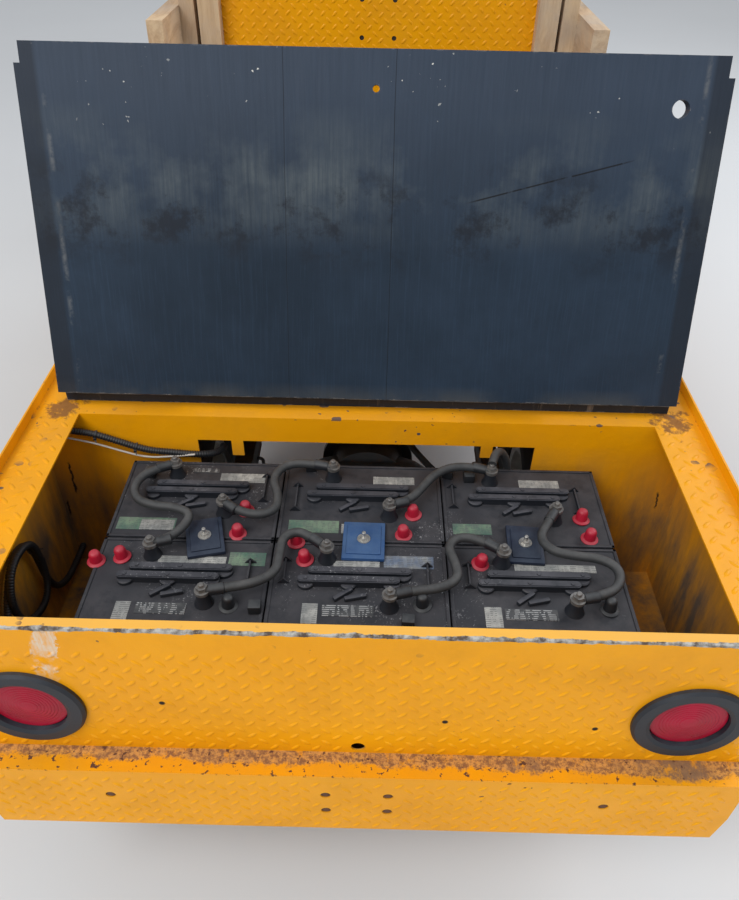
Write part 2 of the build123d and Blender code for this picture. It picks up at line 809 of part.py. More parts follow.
def dash_panel():
    """The panel under the cowl's rear edge, with a round meter, a key switch and a selector."""
    top = cowl_top - dash_drop
    half = inner_half - seat_gap
    instruments = [         # x, radius, rise
        (120, 16, 14), (190, 11, 10),
    ]
    middle = top - 69
    panel = block((-half, half), (cowl_rear, cowl_rear + sheet), (top - dash_height, top))
    for x, radius, rise in instruments:
        panel += rod_y(x, (cowl_rear - rise, cowl_rear + weld), middle, radius)
    return panel + block((-60, 0), (cowl_rear - 6, cowl_rear + weld), around(middle, 30))


# Wheels
def tyre(x, y):
    """A tyre casing whose beads lie inside the rim's flanges."""
    side = [                # across the tyre, radius
        (bead_half, bead_radius + seat_gap), (bead_half + 2, rim_flange_radius + 4),
        (tyre_width / 2, tyre_radius - 45), (tyre_width / 2 - 16, tyre_radius),
    ]
    return turned_x([(-across, radius) for across, radius in side] + side[::-1], x, y, axle_z)


def wheel_rim(x, y, sign):
    """A flanged barrel on a pressed disc with its hub; sign points to the vehicle's outside."""
    outer, flange = rim_flange_half + 3, rim_flange_radius
    inside = bead_radius - rim_sheet
    barrel = [(-outer, inside), (-outer, flange), (-rim_flange_half, flange), (-rim_flange_half, bead_radius),
              (rim_flange_half, bead_radius), (rim_flange_half, flange), (outer, flange), (outer, inside)]
    disc = [                # distance out, radius
        (-18, hub_bore_radius + running_gap), (-18, 40), (18, 40), (18, 66), (4, 80), (4, inside + weld),
        (9, inside + weld), (9, 82), (24, 68), (24, 34), (hub_reach + 4, 26), (hub_reach + 4, 0),
        (hub_reach, 0), (hub_reach, hub_bore_radius + running_gap),
    ]
    rim = turned_x(barrel, 0, 0, 0) + turned_x([(sign * along, radius) for along, radius in disc], 0, 0, 0)
    hexagon = extrude(RegularPolygon(wheel_nut[0], 6), amount=wheel_nut[1] + 2 * weld)
    for angle in range(0, 360, 72):
        seat = Pos(sign * (24 - 2 * weld), 0, wheel_nut_circle)
        rim += Rot(angle, 0, 0) * seat * Rot(0, sign * 90, 0) * hexagon
    return Pos(x, y, axle_z) * rim


# Rear axle and motor
def rear_axle():
    """Axle tubes flared into the gear housing, the bell for the motor and the spring seats."""
    stub_end = rear_wheel_x + hub_reach - 5
    half = [                # distance from the middle, radius
        (stub_end, 0), (stub_end, hub_bore_radius), (rear_wheel_x - 60, hub_bore_radius),
        (rear_wheel_x - 60, tube_radius), (170, tube_radius), (110, 68), (60, housing_radius),
    ]
    axle = turned_x([(-x, radius) for x, radius in half] + half[::-1], 0, rear_axle_y, axle_z)
    axle += rod_y(0, (rear_axle_y, rear_axle_y + motor_flange - 16), motor_z, motor_radius - 14)
    axle += rod_y(0, (rear_axle_y + motor_flange - 16, rear_axle_y + motor_flange), motor_z, motor_radius + 8)
    seat = block(around(rear_rail_x, seat_half[0]), around(rear_axle_y, seat_half[1]),
                 (axle_z, spring_seat))
    return axle + both_sides(seat)


def drive_motor():
    """The motor's barrel between end bells, with its terminal box and stud."""
    length = motor_length
    profile = [             # distance ahead of the flange, radius
        (0, 0), (0, motor_radius), (22, motor_radius), (26, motor_radius - 8),
        (length - 52, motor_radius - 8), (length - 48, motor_radius - 2), (length - 12, motor_radius - 6),
        (length - 12, 60), (length, 54), (length, 0),
    ]
    motor = turned_y(profile, 0, motor_start, motor_z)
    box_y = motor_start + 32.7 + terminal_half[1]
    motor += block(around(terminal_x, terminal_half[0]), around(box_y, terminal_half[1]),
                   (motor_z + 60, motor_top))
    return motor + rod_z(terminal_x, box_y - 10, (motor_top - weld, motor_top + 16), pin_radius)


# Front axle and steering
def front_axle():
    """A beam between two bored king-pin bosses, with the spring seats on it."""
    beam = block(around(0, kingpin_x - 14), around(front_axle_y, beam_half[0]), around(axle_z, beam_half[1]))
    beam += both_sides(rod_z(kingpin_x, front_axle_y, around(axle_z, boss_half), boss_radius))
    beam -= both_sides(rod_z(kingpin_x, front_axle_y, around(axle_z, boss_half + through),
                             kingpin_radius + running_gap))
    seat = block(around(front_rail_x, seat_half[0]), around(front_axle_y, seat_half[1]),
                 (axle_z, spring_seat))
    return beam + both_sides(seat)


def steering_arm(x, y, way, bottom):
    """A flat arm along Y with a round end and a ball pin below it."""
    tip = y + way * steer_arm
    arm = block(around(x, arm_half), sorted((y, tip)), (bottom, bottom + arm_thick))
    arm += rod_z(x, tip, (bottom, bottom + arm_thick), arm_eye)
    return arm + rod_z(x, tip, (link_z - link_half + 2, bottom + weld), pin_radius)


def knuckle(sign):
    """Two ears and a king pin around the axle's end, a stub shaft and the steering arms."""
    x, y, z = sign * kingpin_x, front_axle_y, axle_z
    body = rod_z(x, y, around(z, boss_half + weld), kingpin_radius)
    inner = boss_half + seat_gap
    for low, high in ((z + inner, z + knuckle_reach), (z - knuckle_reach, z - inner)):
        body += rod_z(x, y, (low, high), boss_radius)
        body += block(sorted((x, x + sign * (web[0] + weld))), around(y, 20), (low, high))
    body += block(sorted((x + sign * web[0], x + sign * web[1])), around(y, 20), around(z, knuckle_reach))
    stub_end = front_wheel_x + hub_reach - 5
    body += rod_x(sorted((x + sign * (web[0] + 4), sign * stub_end)), y, z, hub_bore_radius)
    body += steering_arm(x, y, -1, z - knuckle_reach)
    if sign < 0:
        body += steering_arm(x, y, 1, z - knuckle_reach)
    return body


def link_rod(first, last):
    """A rod with a bored eye at each end, between two (x, y) pivots at the links' height."""
    a, b = Vector(*first, link_z), Vector(*last, link_z)
    rod = Plane(origin=(a + b) * 0.5, z_dir=(b - a).normalized())
    rod *= Cylinder(link_rod_radius, (b - a).length - 20)
    for eye in (a, b):
        rod += rod_z(eye.X, eye.Y, around(link_z, link_half), link_eye)
    for eye in (a, b):
        rod -= rod_z(eye.X, eye.Y, around(link_z, link_half + through), pin_radius + running_gap)
    return rod


def tie_rod():
    y = front_axle_y - steer_arm
    return link_rod((-kingpin_x, y), (kingpin_x, y))


def drag_link():
    return link_rod((-kingpin_x, front_axle_y + steer_arm), (pitman_x, pitman_y + steer_arm))


def pitman_arm():
    """The arm under the gear box, with the shaft that turns it."""
    bottom = axle_z - knuckle_reach
    arm = steering_arm(pitman_x, pitman_y, 1, bottom)
    arm += rod_z(pitman_x, pitman_y, (bottom, bottom + arm_thick), link_eye)
    return arm + rod_z(pitman_x, pitman_y, (bottom + arm_thick - weld, gear_box_bottom + gear_box_depth),
                       pitman_shaft_radius)


def along_column(distance):
    """A point on the steering column, measured down from the wheel's middle."""
    return (steering_x, steering_wheel_y - column_axis[1] * distance,
            steering_wheel_z - column_axis[2] * distance)


def on_column(start, end, radius):
    return (Plane(origin=along_column((start + end) / 2), z_dir=column_axis)
            * Cylinder(radius, end - start))


def steering_column():
    """The column with its top bearing, a bracket to the dash, and the gear box under the floor."""
    end = (steering_wheel_z - gear_box_bottom - column_foot) / column_axis[2]
    column = on_column(column_start, end, column_radius)
    column += on_column(column_start, column_start + bearing[1], bearing[0])
    column -= on_column(column_start - through, column_start + bearing[1] + through,
                        wheel_shaft_radius + running_gap)
    bracket_y = steering_wheel_y + (steering_wheel_z - bracket_z) * math.tan(math.radians(steering_lean))
    column += block(around(steering_x, bracket[0]), (bracket_y, cowl_rear - seat_gap),
                    (bracket_z - bracket[1], bracket_z))
    beside, behind, ahead = gear_box_lap
    gear = block((steering_x - column_radius - through, pitman_x + beside),
                 (pitman_y - behind, along_column(end)[1] + column_radius + ahead),
                 (gear_box_bottom, floor_top - sheet - seat_gap))
    column += fillet(gear.edges().filter_by(Axis.Z), gear_box_round)
    bore = (gear_box_bottom - through, gear_box_bottom + gear_box_depth + through)
    return column - rod_z(pitman_x, pitman_y, bore, pitman_shaft_radius + running_gap)


def steering_wheel():
    """The rim, three spokes and hub, on a shaft that reaches into the column's bearing."""
    plane = Plane(origin=along_column(0), x_dir=(1, 0, 0), z_dir=column_axis)
    grip_line = steering_wheel_radius - grip_radius
    wheel = revolve(Pos(grip_line, 0, 0) * (Plane.XZ * RegularPolygon(grip_radius, 8)), axis=Axis.Z)
    wheel += Pos(0, 0, -14) * Cylinder(34, 44)
    wheel += Pos(0, 0, -36 - wheel_shaft_length / 2) * Cylinder(wheel_shaft_radius, wheel_shaft_length)
    for angle in (90, 210, 330):
        wheel += Rot(0, 0, angle) * Pos(grip_line / 2, 0, -4) * Box(grip_line - 4, 26, 8)
    return plane * wheel


def pedals():
    """Brake and accelerator: arms from the floor with sloped pads."""
    arm = [                 # distance ahead of the cowl's rear edge, height above the floor
        (62, 0), (82, 0), (6, 150), (-12, 140),
    ]
    pad = [(-14, 84), (-6, 80), (34, 168), (26, 172)]
    shape = None
    for x, width in ((steering_x + 90, 70), (steering_x + 190, 56)):
        pedal = side_profile([(cowl_rear + y, floor_top + z) for y, z in arm], around(x, 7))
        pedal += side_profile([(cowl_rear + y, floor_top + z) for y, z in pad], around(x, width / 2))
        shape = pedal if shape is None else shape + pedal
    return shape


def brake_lever():
    """The parking brake's lever and grip on its bracket."""
    x, y = 60, seat_base_front + 40
    lever = block(around(x, 20), around(y, 32), (floor_top, floor_top + 30))
    lever += rod_z(x, y, (floor_top, floor_top + 300), 9)
    return lever + rod_z(x, y, (floor_top + 300, floor_top + 400), 15)


# Tail lamps
def tail_grommets():
    """Rubber rings that sit in the rear plate and hold the lenses."""
    outer, inner = lamp_hole_radius + grommet_lip, lens_radius + seat_gap
    profile = [(-grommet_rise, outer - grommet_round), (-grommet_rise + grommet_round, outer),
               (-seat_gap, outer), (-seat_gap, lamp_hole_radius - seat_gap),
               (grommet_depth, lamp_hole_radius - seat_gap),
               (grommet_depth, inner), (-grommet_rise + 3, inner), (-grommet_rise, inner + 6)]
    return both_sides(turned_y(profile, lamp_x, rear_face, lamp_z))


def tail_lenses():
    front = rear_face - lens_rise + lens_dome
    lens = rod_y(lamp_x, (front, rear_face + lamp_depth), lamp_z, lens_radius)
    return both_sides(lens + dome(lens_radius, lens_dome, front, lamp_x, lamp_z, -1))


nodes["frame_rails"] = frame_rails()
nodes["leaf_springs"] = both_sides(leaf_spring(rear_rail_x, rear_axle_y)) + both_sides(
    leaf_spring(front_rail_x, front_axle_y))
nodes["side_panels"] = side_panels()
nodes["rear_plate"] = rear_plate()
nodes["bay_wall"] = bay_wall()
nodes["deck_beams"] = deck_beams()
nodes["rear_bumper"] = rear_bumper()
nodes["front_bumper"] = front_bumper()
nodes["battery_tray"] = battery_tray()
for row_name, row in (("front", 1), ("rear", -1)):
    for column_name, column in (("left", -1), ("middle", 0), ("right", 1)):
        nodes["battery_" + row_name + "_" + column_name] = battery(column, row)
nodes["battery_cables"] = battery_cables()
nodes["hold_downs"] = hold_downs()
nodes["wiring_loom"] = wiring_loom()
nodes["deck_board"] = deck_board()
nodes["deck_hinges"] = deck_hinges()
nodes["battery_lid"] = battery_lid()
nodes["lid_hinges"] = lid_hinges()
nodes["bulkhead"] = bulkhead()
nodes["timber_posts"] = timber_posts()
nodes["timber_rails"] = timber_rails()
nodes["seat_base"] = seat_base()
nodes["seat_cushion"] = seat_cushion()
nodes["seat_back"] = seat_back()
nodes["floor_pan"] = floor_pan()
nodes["wheel_wells"] = wheel_wells()
nodes["cowl"] = cowl()
nodes["headlamp_shells"] = headlamp_shells()
nodes["headlamp_lenses"] = headlamp_lenses()
nodes["dash_panel"] = dash_panel()
nodes["rear_axle"] = rear_axle()
nodes["drive_motor"] = drive_motor()
nodes["front_axle"] = front_axle()
nodes["knuckle_left"] = knuckle(-1)
nodes["knuckle_right"] = knuckle(1)
nodes["tie_rod"] = tie_rod()
nodes["drag_link"] = drag_link()
nodes["pitman_arm"] = pitman_arm()
nodes["steering_column"] = steering_column()
nodes["steering_wheel"] = steering_wheel()
nodes["pedals"] = pedals()
nodes["brake_lever"] = brake_lever()
nodes["tail_grommets"] = tail_grommets()
nodes["tail_lenses"] = tail_lenses()
for end_name, wheel_x, wheel_y in (
        ("rear", rear_wheel_x, rear_axle_y), ("front", front_wheel_x, front_axle_y)):
    for side_name, sign in (("left", -1), ("right", 1)):
        nodes["tyre_" + end_name + "_" + side_name] = tyre(sign * wheel_x, wheel_y)
        nodes["rim_" + end_name + "_" + side_name] = wheel_rim(sign * wheel_x, wheel_y, sign)

for name, shape in nodes.items():
    export_step(shape, "parts/" + name + ".step")
print(len(nodes), "nodes written")
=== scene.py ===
# %% [markdown]
# # Dressing an electric burden carrier
# The real vehicle is a small works truck: a seat cab in front, a flat deck behind, and a raised hatch over six
# batteries. Its construction comes packed from the CAD model, so every bracket, wheel and hinge is already in
# place. This script adds what a camera sees: paint, wear, tread plate, cables, cushions and tyres.

# %% Load the frame
import bmesh
import bpy
import random
from math import cos, degrees, hypot, pi, radians, sin
from mathutils import Matrix, Vector


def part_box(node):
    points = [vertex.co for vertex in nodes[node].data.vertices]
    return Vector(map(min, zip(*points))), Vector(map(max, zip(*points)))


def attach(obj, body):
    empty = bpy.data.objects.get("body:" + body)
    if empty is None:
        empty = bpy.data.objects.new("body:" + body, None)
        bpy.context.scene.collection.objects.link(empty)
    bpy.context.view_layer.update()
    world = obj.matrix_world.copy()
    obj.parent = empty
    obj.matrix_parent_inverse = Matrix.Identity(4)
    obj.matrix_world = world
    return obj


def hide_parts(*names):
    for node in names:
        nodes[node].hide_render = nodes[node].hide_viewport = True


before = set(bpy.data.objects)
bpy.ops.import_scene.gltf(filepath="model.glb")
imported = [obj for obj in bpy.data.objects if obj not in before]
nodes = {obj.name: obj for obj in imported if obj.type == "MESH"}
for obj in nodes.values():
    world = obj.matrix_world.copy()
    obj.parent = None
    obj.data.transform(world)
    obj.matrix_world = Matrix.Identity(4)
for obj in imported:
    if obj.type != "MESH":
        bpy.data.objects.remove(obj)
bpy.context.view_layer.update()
mm = 0.001
X, Y, Z = Vector((1, 0, 0)), Vector((0, 1, 0)), Vector((0, 0, 1))

# %% [markdown]
# The photograph was taken by someone who stood behind the hatch and looked down at the batteries. The camera
# gets that spot and angle, worked out from the batteries' known size, so that the render can be laid over it.
# The sensor's 36 mm goes on the picture's long side, which is its height.

# %% Camera
photo_size = (739, 900)
camera_place = Vector((0.01035, -2.0559, 1.4632))
camera_pitch = radians(39.69)           # below the horizon
camera_yaw = radians(-0.25)
camera_roll = radians(-1.20)
focal_pixels = 777.06
sensor_mm = 36

forward = Vector((sin(camera_yaw) * cos(camera_pitch), cos(camera_yaw) * cos(camera_pitch), -sin(camera_pitch)))
level_right = Vector((cos(camera_yaw), -sin(camera_yaw), 0))
level_down = forward.cross(level_right)
right = cos(camera_roll) * level_right + sin(camera_roll) * level_down
down = cos(camera_roll) * level_down - sin(camera_roll) * level_right
camera_data = bpy.data.cameras.new("camera")
camera_data.sensor_width = sensor_mm
camera_data.lens = sensor_mm * focal_pixels / max(photo_size)
camera = bpy.data.objects.new("camera", camera_data)
camera.matrix_world = Matrix.Translation(camera_place) @ Matrix((right, -down, -forward)).transposed().to_4x4()
scene = bpy.context.scene
scene.collection.objects.link(camera)
scene.camera = camera
print("lens", round(camera_data.lens, 2), "mm")

# %% [markdown]
# Soft light from a pale sky and two large panels shows the paint about as it is written. The floor comes later. It
# is plain and pale, keeps the shadow, and isn't part of the vehicle.

# %% Light
scene.view_settings.view_transform = "Standard"
sky = bpy.data.worlds.new("sky")
sky.use_nodes = True
sky.node_tree.nodes["Background"].inputs["Color"].default_value = (0.93, 0.96, 1.0, 1)
sky.node_tree.nodes["Background"].inputs["Strength"].default_value = 0.62
scene.world = sky


def light_panel(name, place, target, size, watts, colour):
    data = bpy.data.lights.new(name, "AREA")
    data.shape = "RECTANGLE"
    data.size, data.size_y = size
    data.energy = watts
    data.color = colour
    panel = bpy.data.objects.new(name, data)
    panel.location = place
    panel.rotation_euler = (Vector(target) - Vector(place)).to_track_quat("-Z", "Y").to_euler()
    scene.collection.objects.link(panel)


light_panel("key_panel", (-2.2, -3.6, 4.4), (0, -1.0, 0.6), (3.2, 2.4), 150, (1, 0.98, 0.95))
light_panel("fill_panel", (3.6, 1.2, 3.6), (0, 0, 0.6), (3.6, 3.0), 105, (0.95, 0.97, 1))
print("lights", len(bpy.data.lights))

# %% [markdown]
# Most of the finishes are built from the same few effects: paint rubs off along edges, chips leave specks, dust
# settles on whatever faces up, and wood and rubber have a grain. Each effect is one node group with named
# inputs, so a material only says how much of it there is. Two short classes keep the node code readable: a Value
# is a node's output that takes part in sums, and a Shade adds nodes to one tree.

# %% Node helpers


class Value:
    """A node's output. Arithmetic on it adds maths nodes to its tree."""

    def __init__(self, shade, socket):
        self.shade, self.socket = shade, socket

    def maths(self, operation, first, second=0.0):
        return self.shade.node("Math", {0: first, 1: second}, operation=operation)

    def __add__(self, other):
        return self.maths("ADD", self, other)

    def __sub__(self, other):
        return self.maths("SUBTRACT", self, other)

    def __rsub__(self, other):
        return self.maths("SUBTRACT", other, self)

    def __mul__(self, other):
        return self.maths("MULTIPLY", self, other)

    def __or__(self, other):
        return self.maths("MAXIMUM", self, other)

    def __gt__(self, other):
        return self.maths("GREATER_THAN", self, other)

    def __lt__(self, other):
        return self.maths("LESS_THAN", self, other)

    def __abs__(self):
        return self.maths("ABSOLUTE", self)

    def to(self, low, high, to_low=0.0, to_high=1.0):
        """Map the range from low to high onto another, and go no further."""
        return self.shade.node("MapRange", {"Value": self, "From Min": low, "From Max": high,
                                            "To Min": to_low, "To Max": to_high})

    def within(self, low, high, soft=0.001):
        """1 between two limits, with a soft edge."""
        return self.to(low - soft, low + soft) * self.to(high + soft, high - soft)


class Shade:
    """Short ways to add nodes to the tree of a material or of a group."""

    def __init__(self, tree):
        self.tree = tree

    def put(self, socket, value):
        if isinstance(value, Value):
            self.tree.links.new(value.socket, socket)
        elif socket.type == "RGBA":
            socket.default_value = tuple(value) + (1,) * (4 - len(value))
        else:
            socket.default_value = value

    def node(self, kind, inputs=(), output=0, **settings):
        made = self.tree.nodes.new("ShaderNode" + kind)
        for name, value in settings.items():
            setattr(made, name, value)
        for name, value in dict(inputs).items():
            self.put(made.inputs[name], value)
        return Value(self, made.outputs[output])

    def place(self):
        return self.node("TexCoord", output="Object")

    def normal(self):
        return self.node("NewGeometry", output="Normal")

    def split(self, vector):
        parts = self.node("SeparateXYZ", {0: vector}).socket.node.outputs
        return [Value(self, part) for part in parts]

    def where(self):
        """The spot in the vehicle's own frame, and its x, y and z, in metres."""
        place = self.place()
        return [place] + self.split(place)

    def vector(self, operation, first, second):
        return self.node("VectorMath", {0: first, 1: second}, operation=operation)

    def distance(self, first, second):
        return self.node("VectorMath", {0: first, 1: second}, "Value", operation="DISTANCE")

    def noise(self, vector, scale, detail=4.0, roughness=0.6):
        return self.node("TexNoise", {"Vector": vector, "Scale": scale, "Detail": detail, "Roughness": roughness})

    def streaks(self, vector, stretch, scale, detail=6.0, roughness=0.7):
        """Noise drawn out along the axes with small stretch values."""
        return self.noise(self.vector("MULTIPLY", vector, stretch), scale, detail, roughness)

    def bands(self, vector, scale, direction, **more):
        return self.node("TexWave", {"Vector": vector, "Scale": scale, **more}, "Fac", wave_type="BANDS",
                         bands_direction=direction)

    def mix(self, factor, first, second):
        return self.node("Mix", {0: factor, 6: first, 7: second}, 2, data_type="RGBA")

    def bump(self, height, strength, distance, normal=None):
        under = {} if normal is None else {"Normal": normal}
        return self.node("Bump", {"Height": height, "Strength": strength, "Distance": distance, **under})

    def group(self, name, **inputs):
        made = self.tree.nodes.new("ShaderNodeGroup")
        made.node_tree = bpy.data.node_groups[name]
        for label, value in inputs.items():
            self.put(made.inputs[label], value)
        return Value(self, made.outputs[0])


def effect(name, **inputs):
    """Start a node group with float inputs. Gives its shade, its inputs and a call that sets its one output."""
    tree = bpy.data.node_groups.new(name, "ShaderNodeTree")
    for label, value in inputs.items():
        tree.interface.new_socket(name=label, in_out="INPUT", socket_type="NodeSocketFloat").default_value = value
    tree.interface.new_socket(name="mask", in_out="OUTPUT", socket_type="NodeSocketFloat")
    shade = Shade(tree)
    given = [Value(shade, tree.nodes.new("NodeGroupInput").outputs[label]) for label in inputs]
    mask = tree.nodes.new("NodeGroupOutput").inputs["mask"]
    return shade, given, lambda value: shade.put(mask, value)


# %% [markdown]
# Edge wear compares the surface's own normal with one that is rounded off near corners. Where they differ the
# spot lies on an edge, and a noise breaks the line up, because paint never goes evenly.

# %% Effect: edge wear
shade, (radius, amount, scale), give = effect("edge wear", radius=0.003, amount=0.5, scale=60.0)
rounded = shade.node("Bevel", {"Radius": radius}, samples=2)
same = shade.node("VectorMath", {0: rounded, 1: shade.normal()}, "Value", operation="DOT_PRODUCT")
least = 0.78 - amount * 0.5
give(same.to(0.995, 0.80) * shade.noise(shade.place(), scale, 6, 0.7).to(least, least + 0.06))
print("effect", shade.tree.name)

# %% [markdown]
# Chips and rust spots are small irregular islands. A cell pattern gives each one its own size, and a larger
# noise gathers them into areas, as on a panel that gets knocked in the same places.

# %% Effect: chips
shade, (scale, size, cover, gather), give = effect("chips", scale=90.0, size=0.25, cover=0.4, gather=3.0)
place = shade.place()
wobble = shade.node("TexNoise", {"Vector": place, "Scale": scale, "Detail": 3.0}, "Color")
bent = shade.node("VectorMath", {0: wobble, "Scale": 0.012}, operation="SCALE")
cells = shade.node("TexVoronoi", {"Vector": shade.vector("ADD", place, bent), "Scale": scale})
own = shade.split(Value(shade, cells.socket.node.outputs["Color"]))[0]
island = cells < own.maths("POWER", own, 3.0) * size
level = 1.0 - cover
give(island * shade.noise(place, gather, 3, 0.6).to(level, level + 0.05))
print("effect", shade.tree.name)

# %% [markdown]
# Patches are soft clouds of difference: faded paint, stains, damp or polish. Settled dust is the same cloud,
# but only on faces that look up.

# %% Effects: patches and settled dust
shade, (scale, cover, softness), give = effect("patches", scale=4.0, cover=0.5, softness=0.2)
level = 1.0 - cover
give(shade.noise(shade.place(), scale, 5, 0.65).to(level - softness, level + softness))

shade, (amount, scale), give = effect("settled dust", amount=0.5, scale=30.0)
facing_up = shade.split(shade.normal())[2].to(0.35, 0.95)
give(facing_up * (shade.noise(shade.place(), scale, 5, 0.7).to(0.25, 0.75) * amount))
print("effects", len(bpy.data.node_groups))

# %% [markdown]
# Grain is one noise, stretched. Wood is stretched along the plank, scuffs along the way a load slides, and
# brushed or rolled steel along the sheet. The three stretches are inputs, so one group serves all of them.

# %% Effect: grain
shade, given, give = effect("grain", along_x=1.0, along_y=1.0, along_z=1.0, scale=20.0, warp=0.3)
place, *parts = shade.where()
bend = shade.noise(place, 3, 2, 0.5) * given[4]
stretched = shade.node("CombineXYZ", {i: (part + bend) * given[i] for i, part in enumerate(parts)})
give(shade.noise(stretched, given[3], 8, 0.7))
print("effects", [group.name for group in bpy.data.node_groups])

# %% [markdown]
# A finish is a material with a Principled surface. Each finish below adds its colour, roughness and bump, and a
# stain can be laid over a finish that is already made. Colours are linear values, read from the real surfaces.

# %% Start of a finish


class Finish(Shade):
    """A material with a Principled surface."""

    def __init__(self, name):
        self.material = bpy.data.materials.new(name)
        self.material.use_nodes = True
        super().__init__(self.material.node_tree)
        self.surface = self.tree.nodes["Principled BSDF"].inputs

    def feed(self, base_color, roughness, **others):
        """Set or link the surface's inputs; the labels are Blender's, in lower case."""
        for label, value in dict(others, base_color=base_color, roughness=roughness).items():
            self.put(self.surface[label.replace("_", " ").title().replace("Ior", "IOR")], value)
        return self

    def stain(self, mask, colour, rough=0.8, pit=0.0):
        """Lay a stain over the finish, where the mask is 1."""
        base, under, normal = (Value(self, self.surface[label].links[0].from_socket)
                               for label in ("Base Color", "Roughness", "Normal"))
        if pit:
            normal = self.bump(mask * self.noise(self.place(), 150, 6, 0.7).to(0.3, 0.7), pit, 0.0012, normal)
        self.feed(self.mix(mask, base, colour), self.mix(mask, under, (rough,) * 3), normal=normal)


# %% [markdown]
# The body is works-truck yellow: thick enamel, sprayed more than once, so it has a slight orange peel and hides
# small dents. It is chipped along the folds, rusty where water stands, and darker and greyer low in the battery bay.

# %% Finish: yellow enamel
YELLOW = (0.97, 0.425, 0.003)
DEEP_YELLOW = (0.84, 0.335, 0.002)
RUST = (0.16, 0.055, 0.022)
PRIMER = (0.10, 0.085, 0.08)
rear_y, wall_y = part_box("rear_plate")[0].y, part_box("bay_wall")[0].y
rim_z, wall_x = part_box("rear_plate")[1].z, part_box("bay_wall")[1].x


def enamel(name, wear=0.35, chip_cover=0.42, grime=0.35):
    made = Finish(name)
    colour = made.mix(made.group("patches", scale=3, cover=0.5, softness=0.3), YELLOW, DEEP_YELLOW)
    dirt = made.group("patches", scale=9, cover=0.40, softness=0.12)
    colour = made.mix(dirt * (grime * 0.5), colour, (0.36, 0.16, 0.03))
    colour = made.mix(made.group("settled dust", amount=0.22, scale=14), colour, (0.46, 0.24, 0.07))
    chips = made.group("chips", scale=85, size=0.26, cover=chip_cover, gather=2.4)
    bare = chips | made.group("edge wear", radius=0.0028, amount=wear, scale=55)
    metal = made.mix(made.group("patches", scale=40, cover=0.5, softness=0.1), PRIMER, RUST)
    normal = made.bump(made.noise(made.place(), 260, 2, 0.5), 0.10, 0.0006)
    normal = made.bump(made.noise(made.place(), 38, 3), 0.30, 0.0028, normal)
    normal = made.bump(1.0 - chips, 0.35, 0.0006, normal)
    rough = made.mix(bare, made.mix(dirt, (0.34,) * 3, (0.48,) * 3), (0.85,) * 3)
    return made.feed(made.mix(bare, colour, metal), rough, normal=normal, specular_ior_level=0.2)


def bay_low_darkening(made):
    """Inside the bay the paint turns darker and greyer towards the tray floor."""
    place, x, y, z = made.where()
    inside = x.within(-wall_x - 0.0005, wall_x + 0.0005, 0.0004) * y.within(rear_y + 0.0015, wall_y + 0.0005, 0.0004)
    runs = made.streaks(place, (1.0, 1.0, 0.25), 16, 6, 0.65).to(0.25, 0.62)
    depth = z.to(rim_z - 0.045, rim_z - 0.21, 0.0, 0.97)
    # Darker and greyer towards the tray floor, broken into runs.
    made.stain(inside * z.to(rim_z - 0.003, rim_z - 0.006) * (depth * runs), (0.118, 0.096, 0.080), 0.75)


def flange_rust(made):
    """Rust where water stands on the flanges beside the lid's ends, and knocks along the flanges."""
    place, x, y, z = made.where()
    on_top = z.within(rim_z - 0.003, rim_z + 0.003)
    folded = made.node("CombineXYZ", {0: abs(x), 1: y * 0.8, 2: z})
    from_corner = made.distance(folded, (0.505, -0.8 * 1.02, rim_z))
    near = (from_corner + made.noise(place, 45, 6, 0.7) * 0.14).to(0.100, 0.084)
    made.stain(near * on_top * 0.85, (0.20, 0.085, 0.035), 0.85)
    wear_and_glint = made.group("chips", scale=46, size=0.46, cover=0.50, gather=6)
    made.stain(wear_and_glint * on_top, (0.17, 0.11, 0.08), 0.85)


def wall_scratches(made):
    """Long dark scratches that a battery's corner left on the bay wall."""
    place, x, y, z = made.where()
    ragged = (made.noise(place, 90, 5, 0.7) - 0.5) * 0.010
    marks = []
    for mark_x, mark_z, length, lean, half in ((-0.520, 0.535, 0.070, 0.02, 0.0016),
                                               (-0.543, 0.462, 0.034, 0.05, 0.0018),
                                               (0.521, 0.515, 0.036, -0.1, 0.0016)):
        along = z - mark_z
        across = x - mark_x - along * lean + ragged
        marks.append(across.within(-half, half, 0.0008) * along.within(-length / 2, length / 2, 0.004))
    on_wall = y.within(wall_y - 0.004, wall_y + 0.002)
    made.stain((marks[0] | marks[1] | marks[2]) * on_wall, (0.035, 0.022, 0.016), 0.85)


body_paint = enamel("yellow_enamel")
bay_low_darkening(body_paint)
flange_rust(body_paint)
wall_scratches(body_paint)
cab_paint = enamel("cab_enamel", wear=0.2, chip_cover=0.36, grime=0.2)
print("paints", body_paint.material.name, cab_paint.material.name)
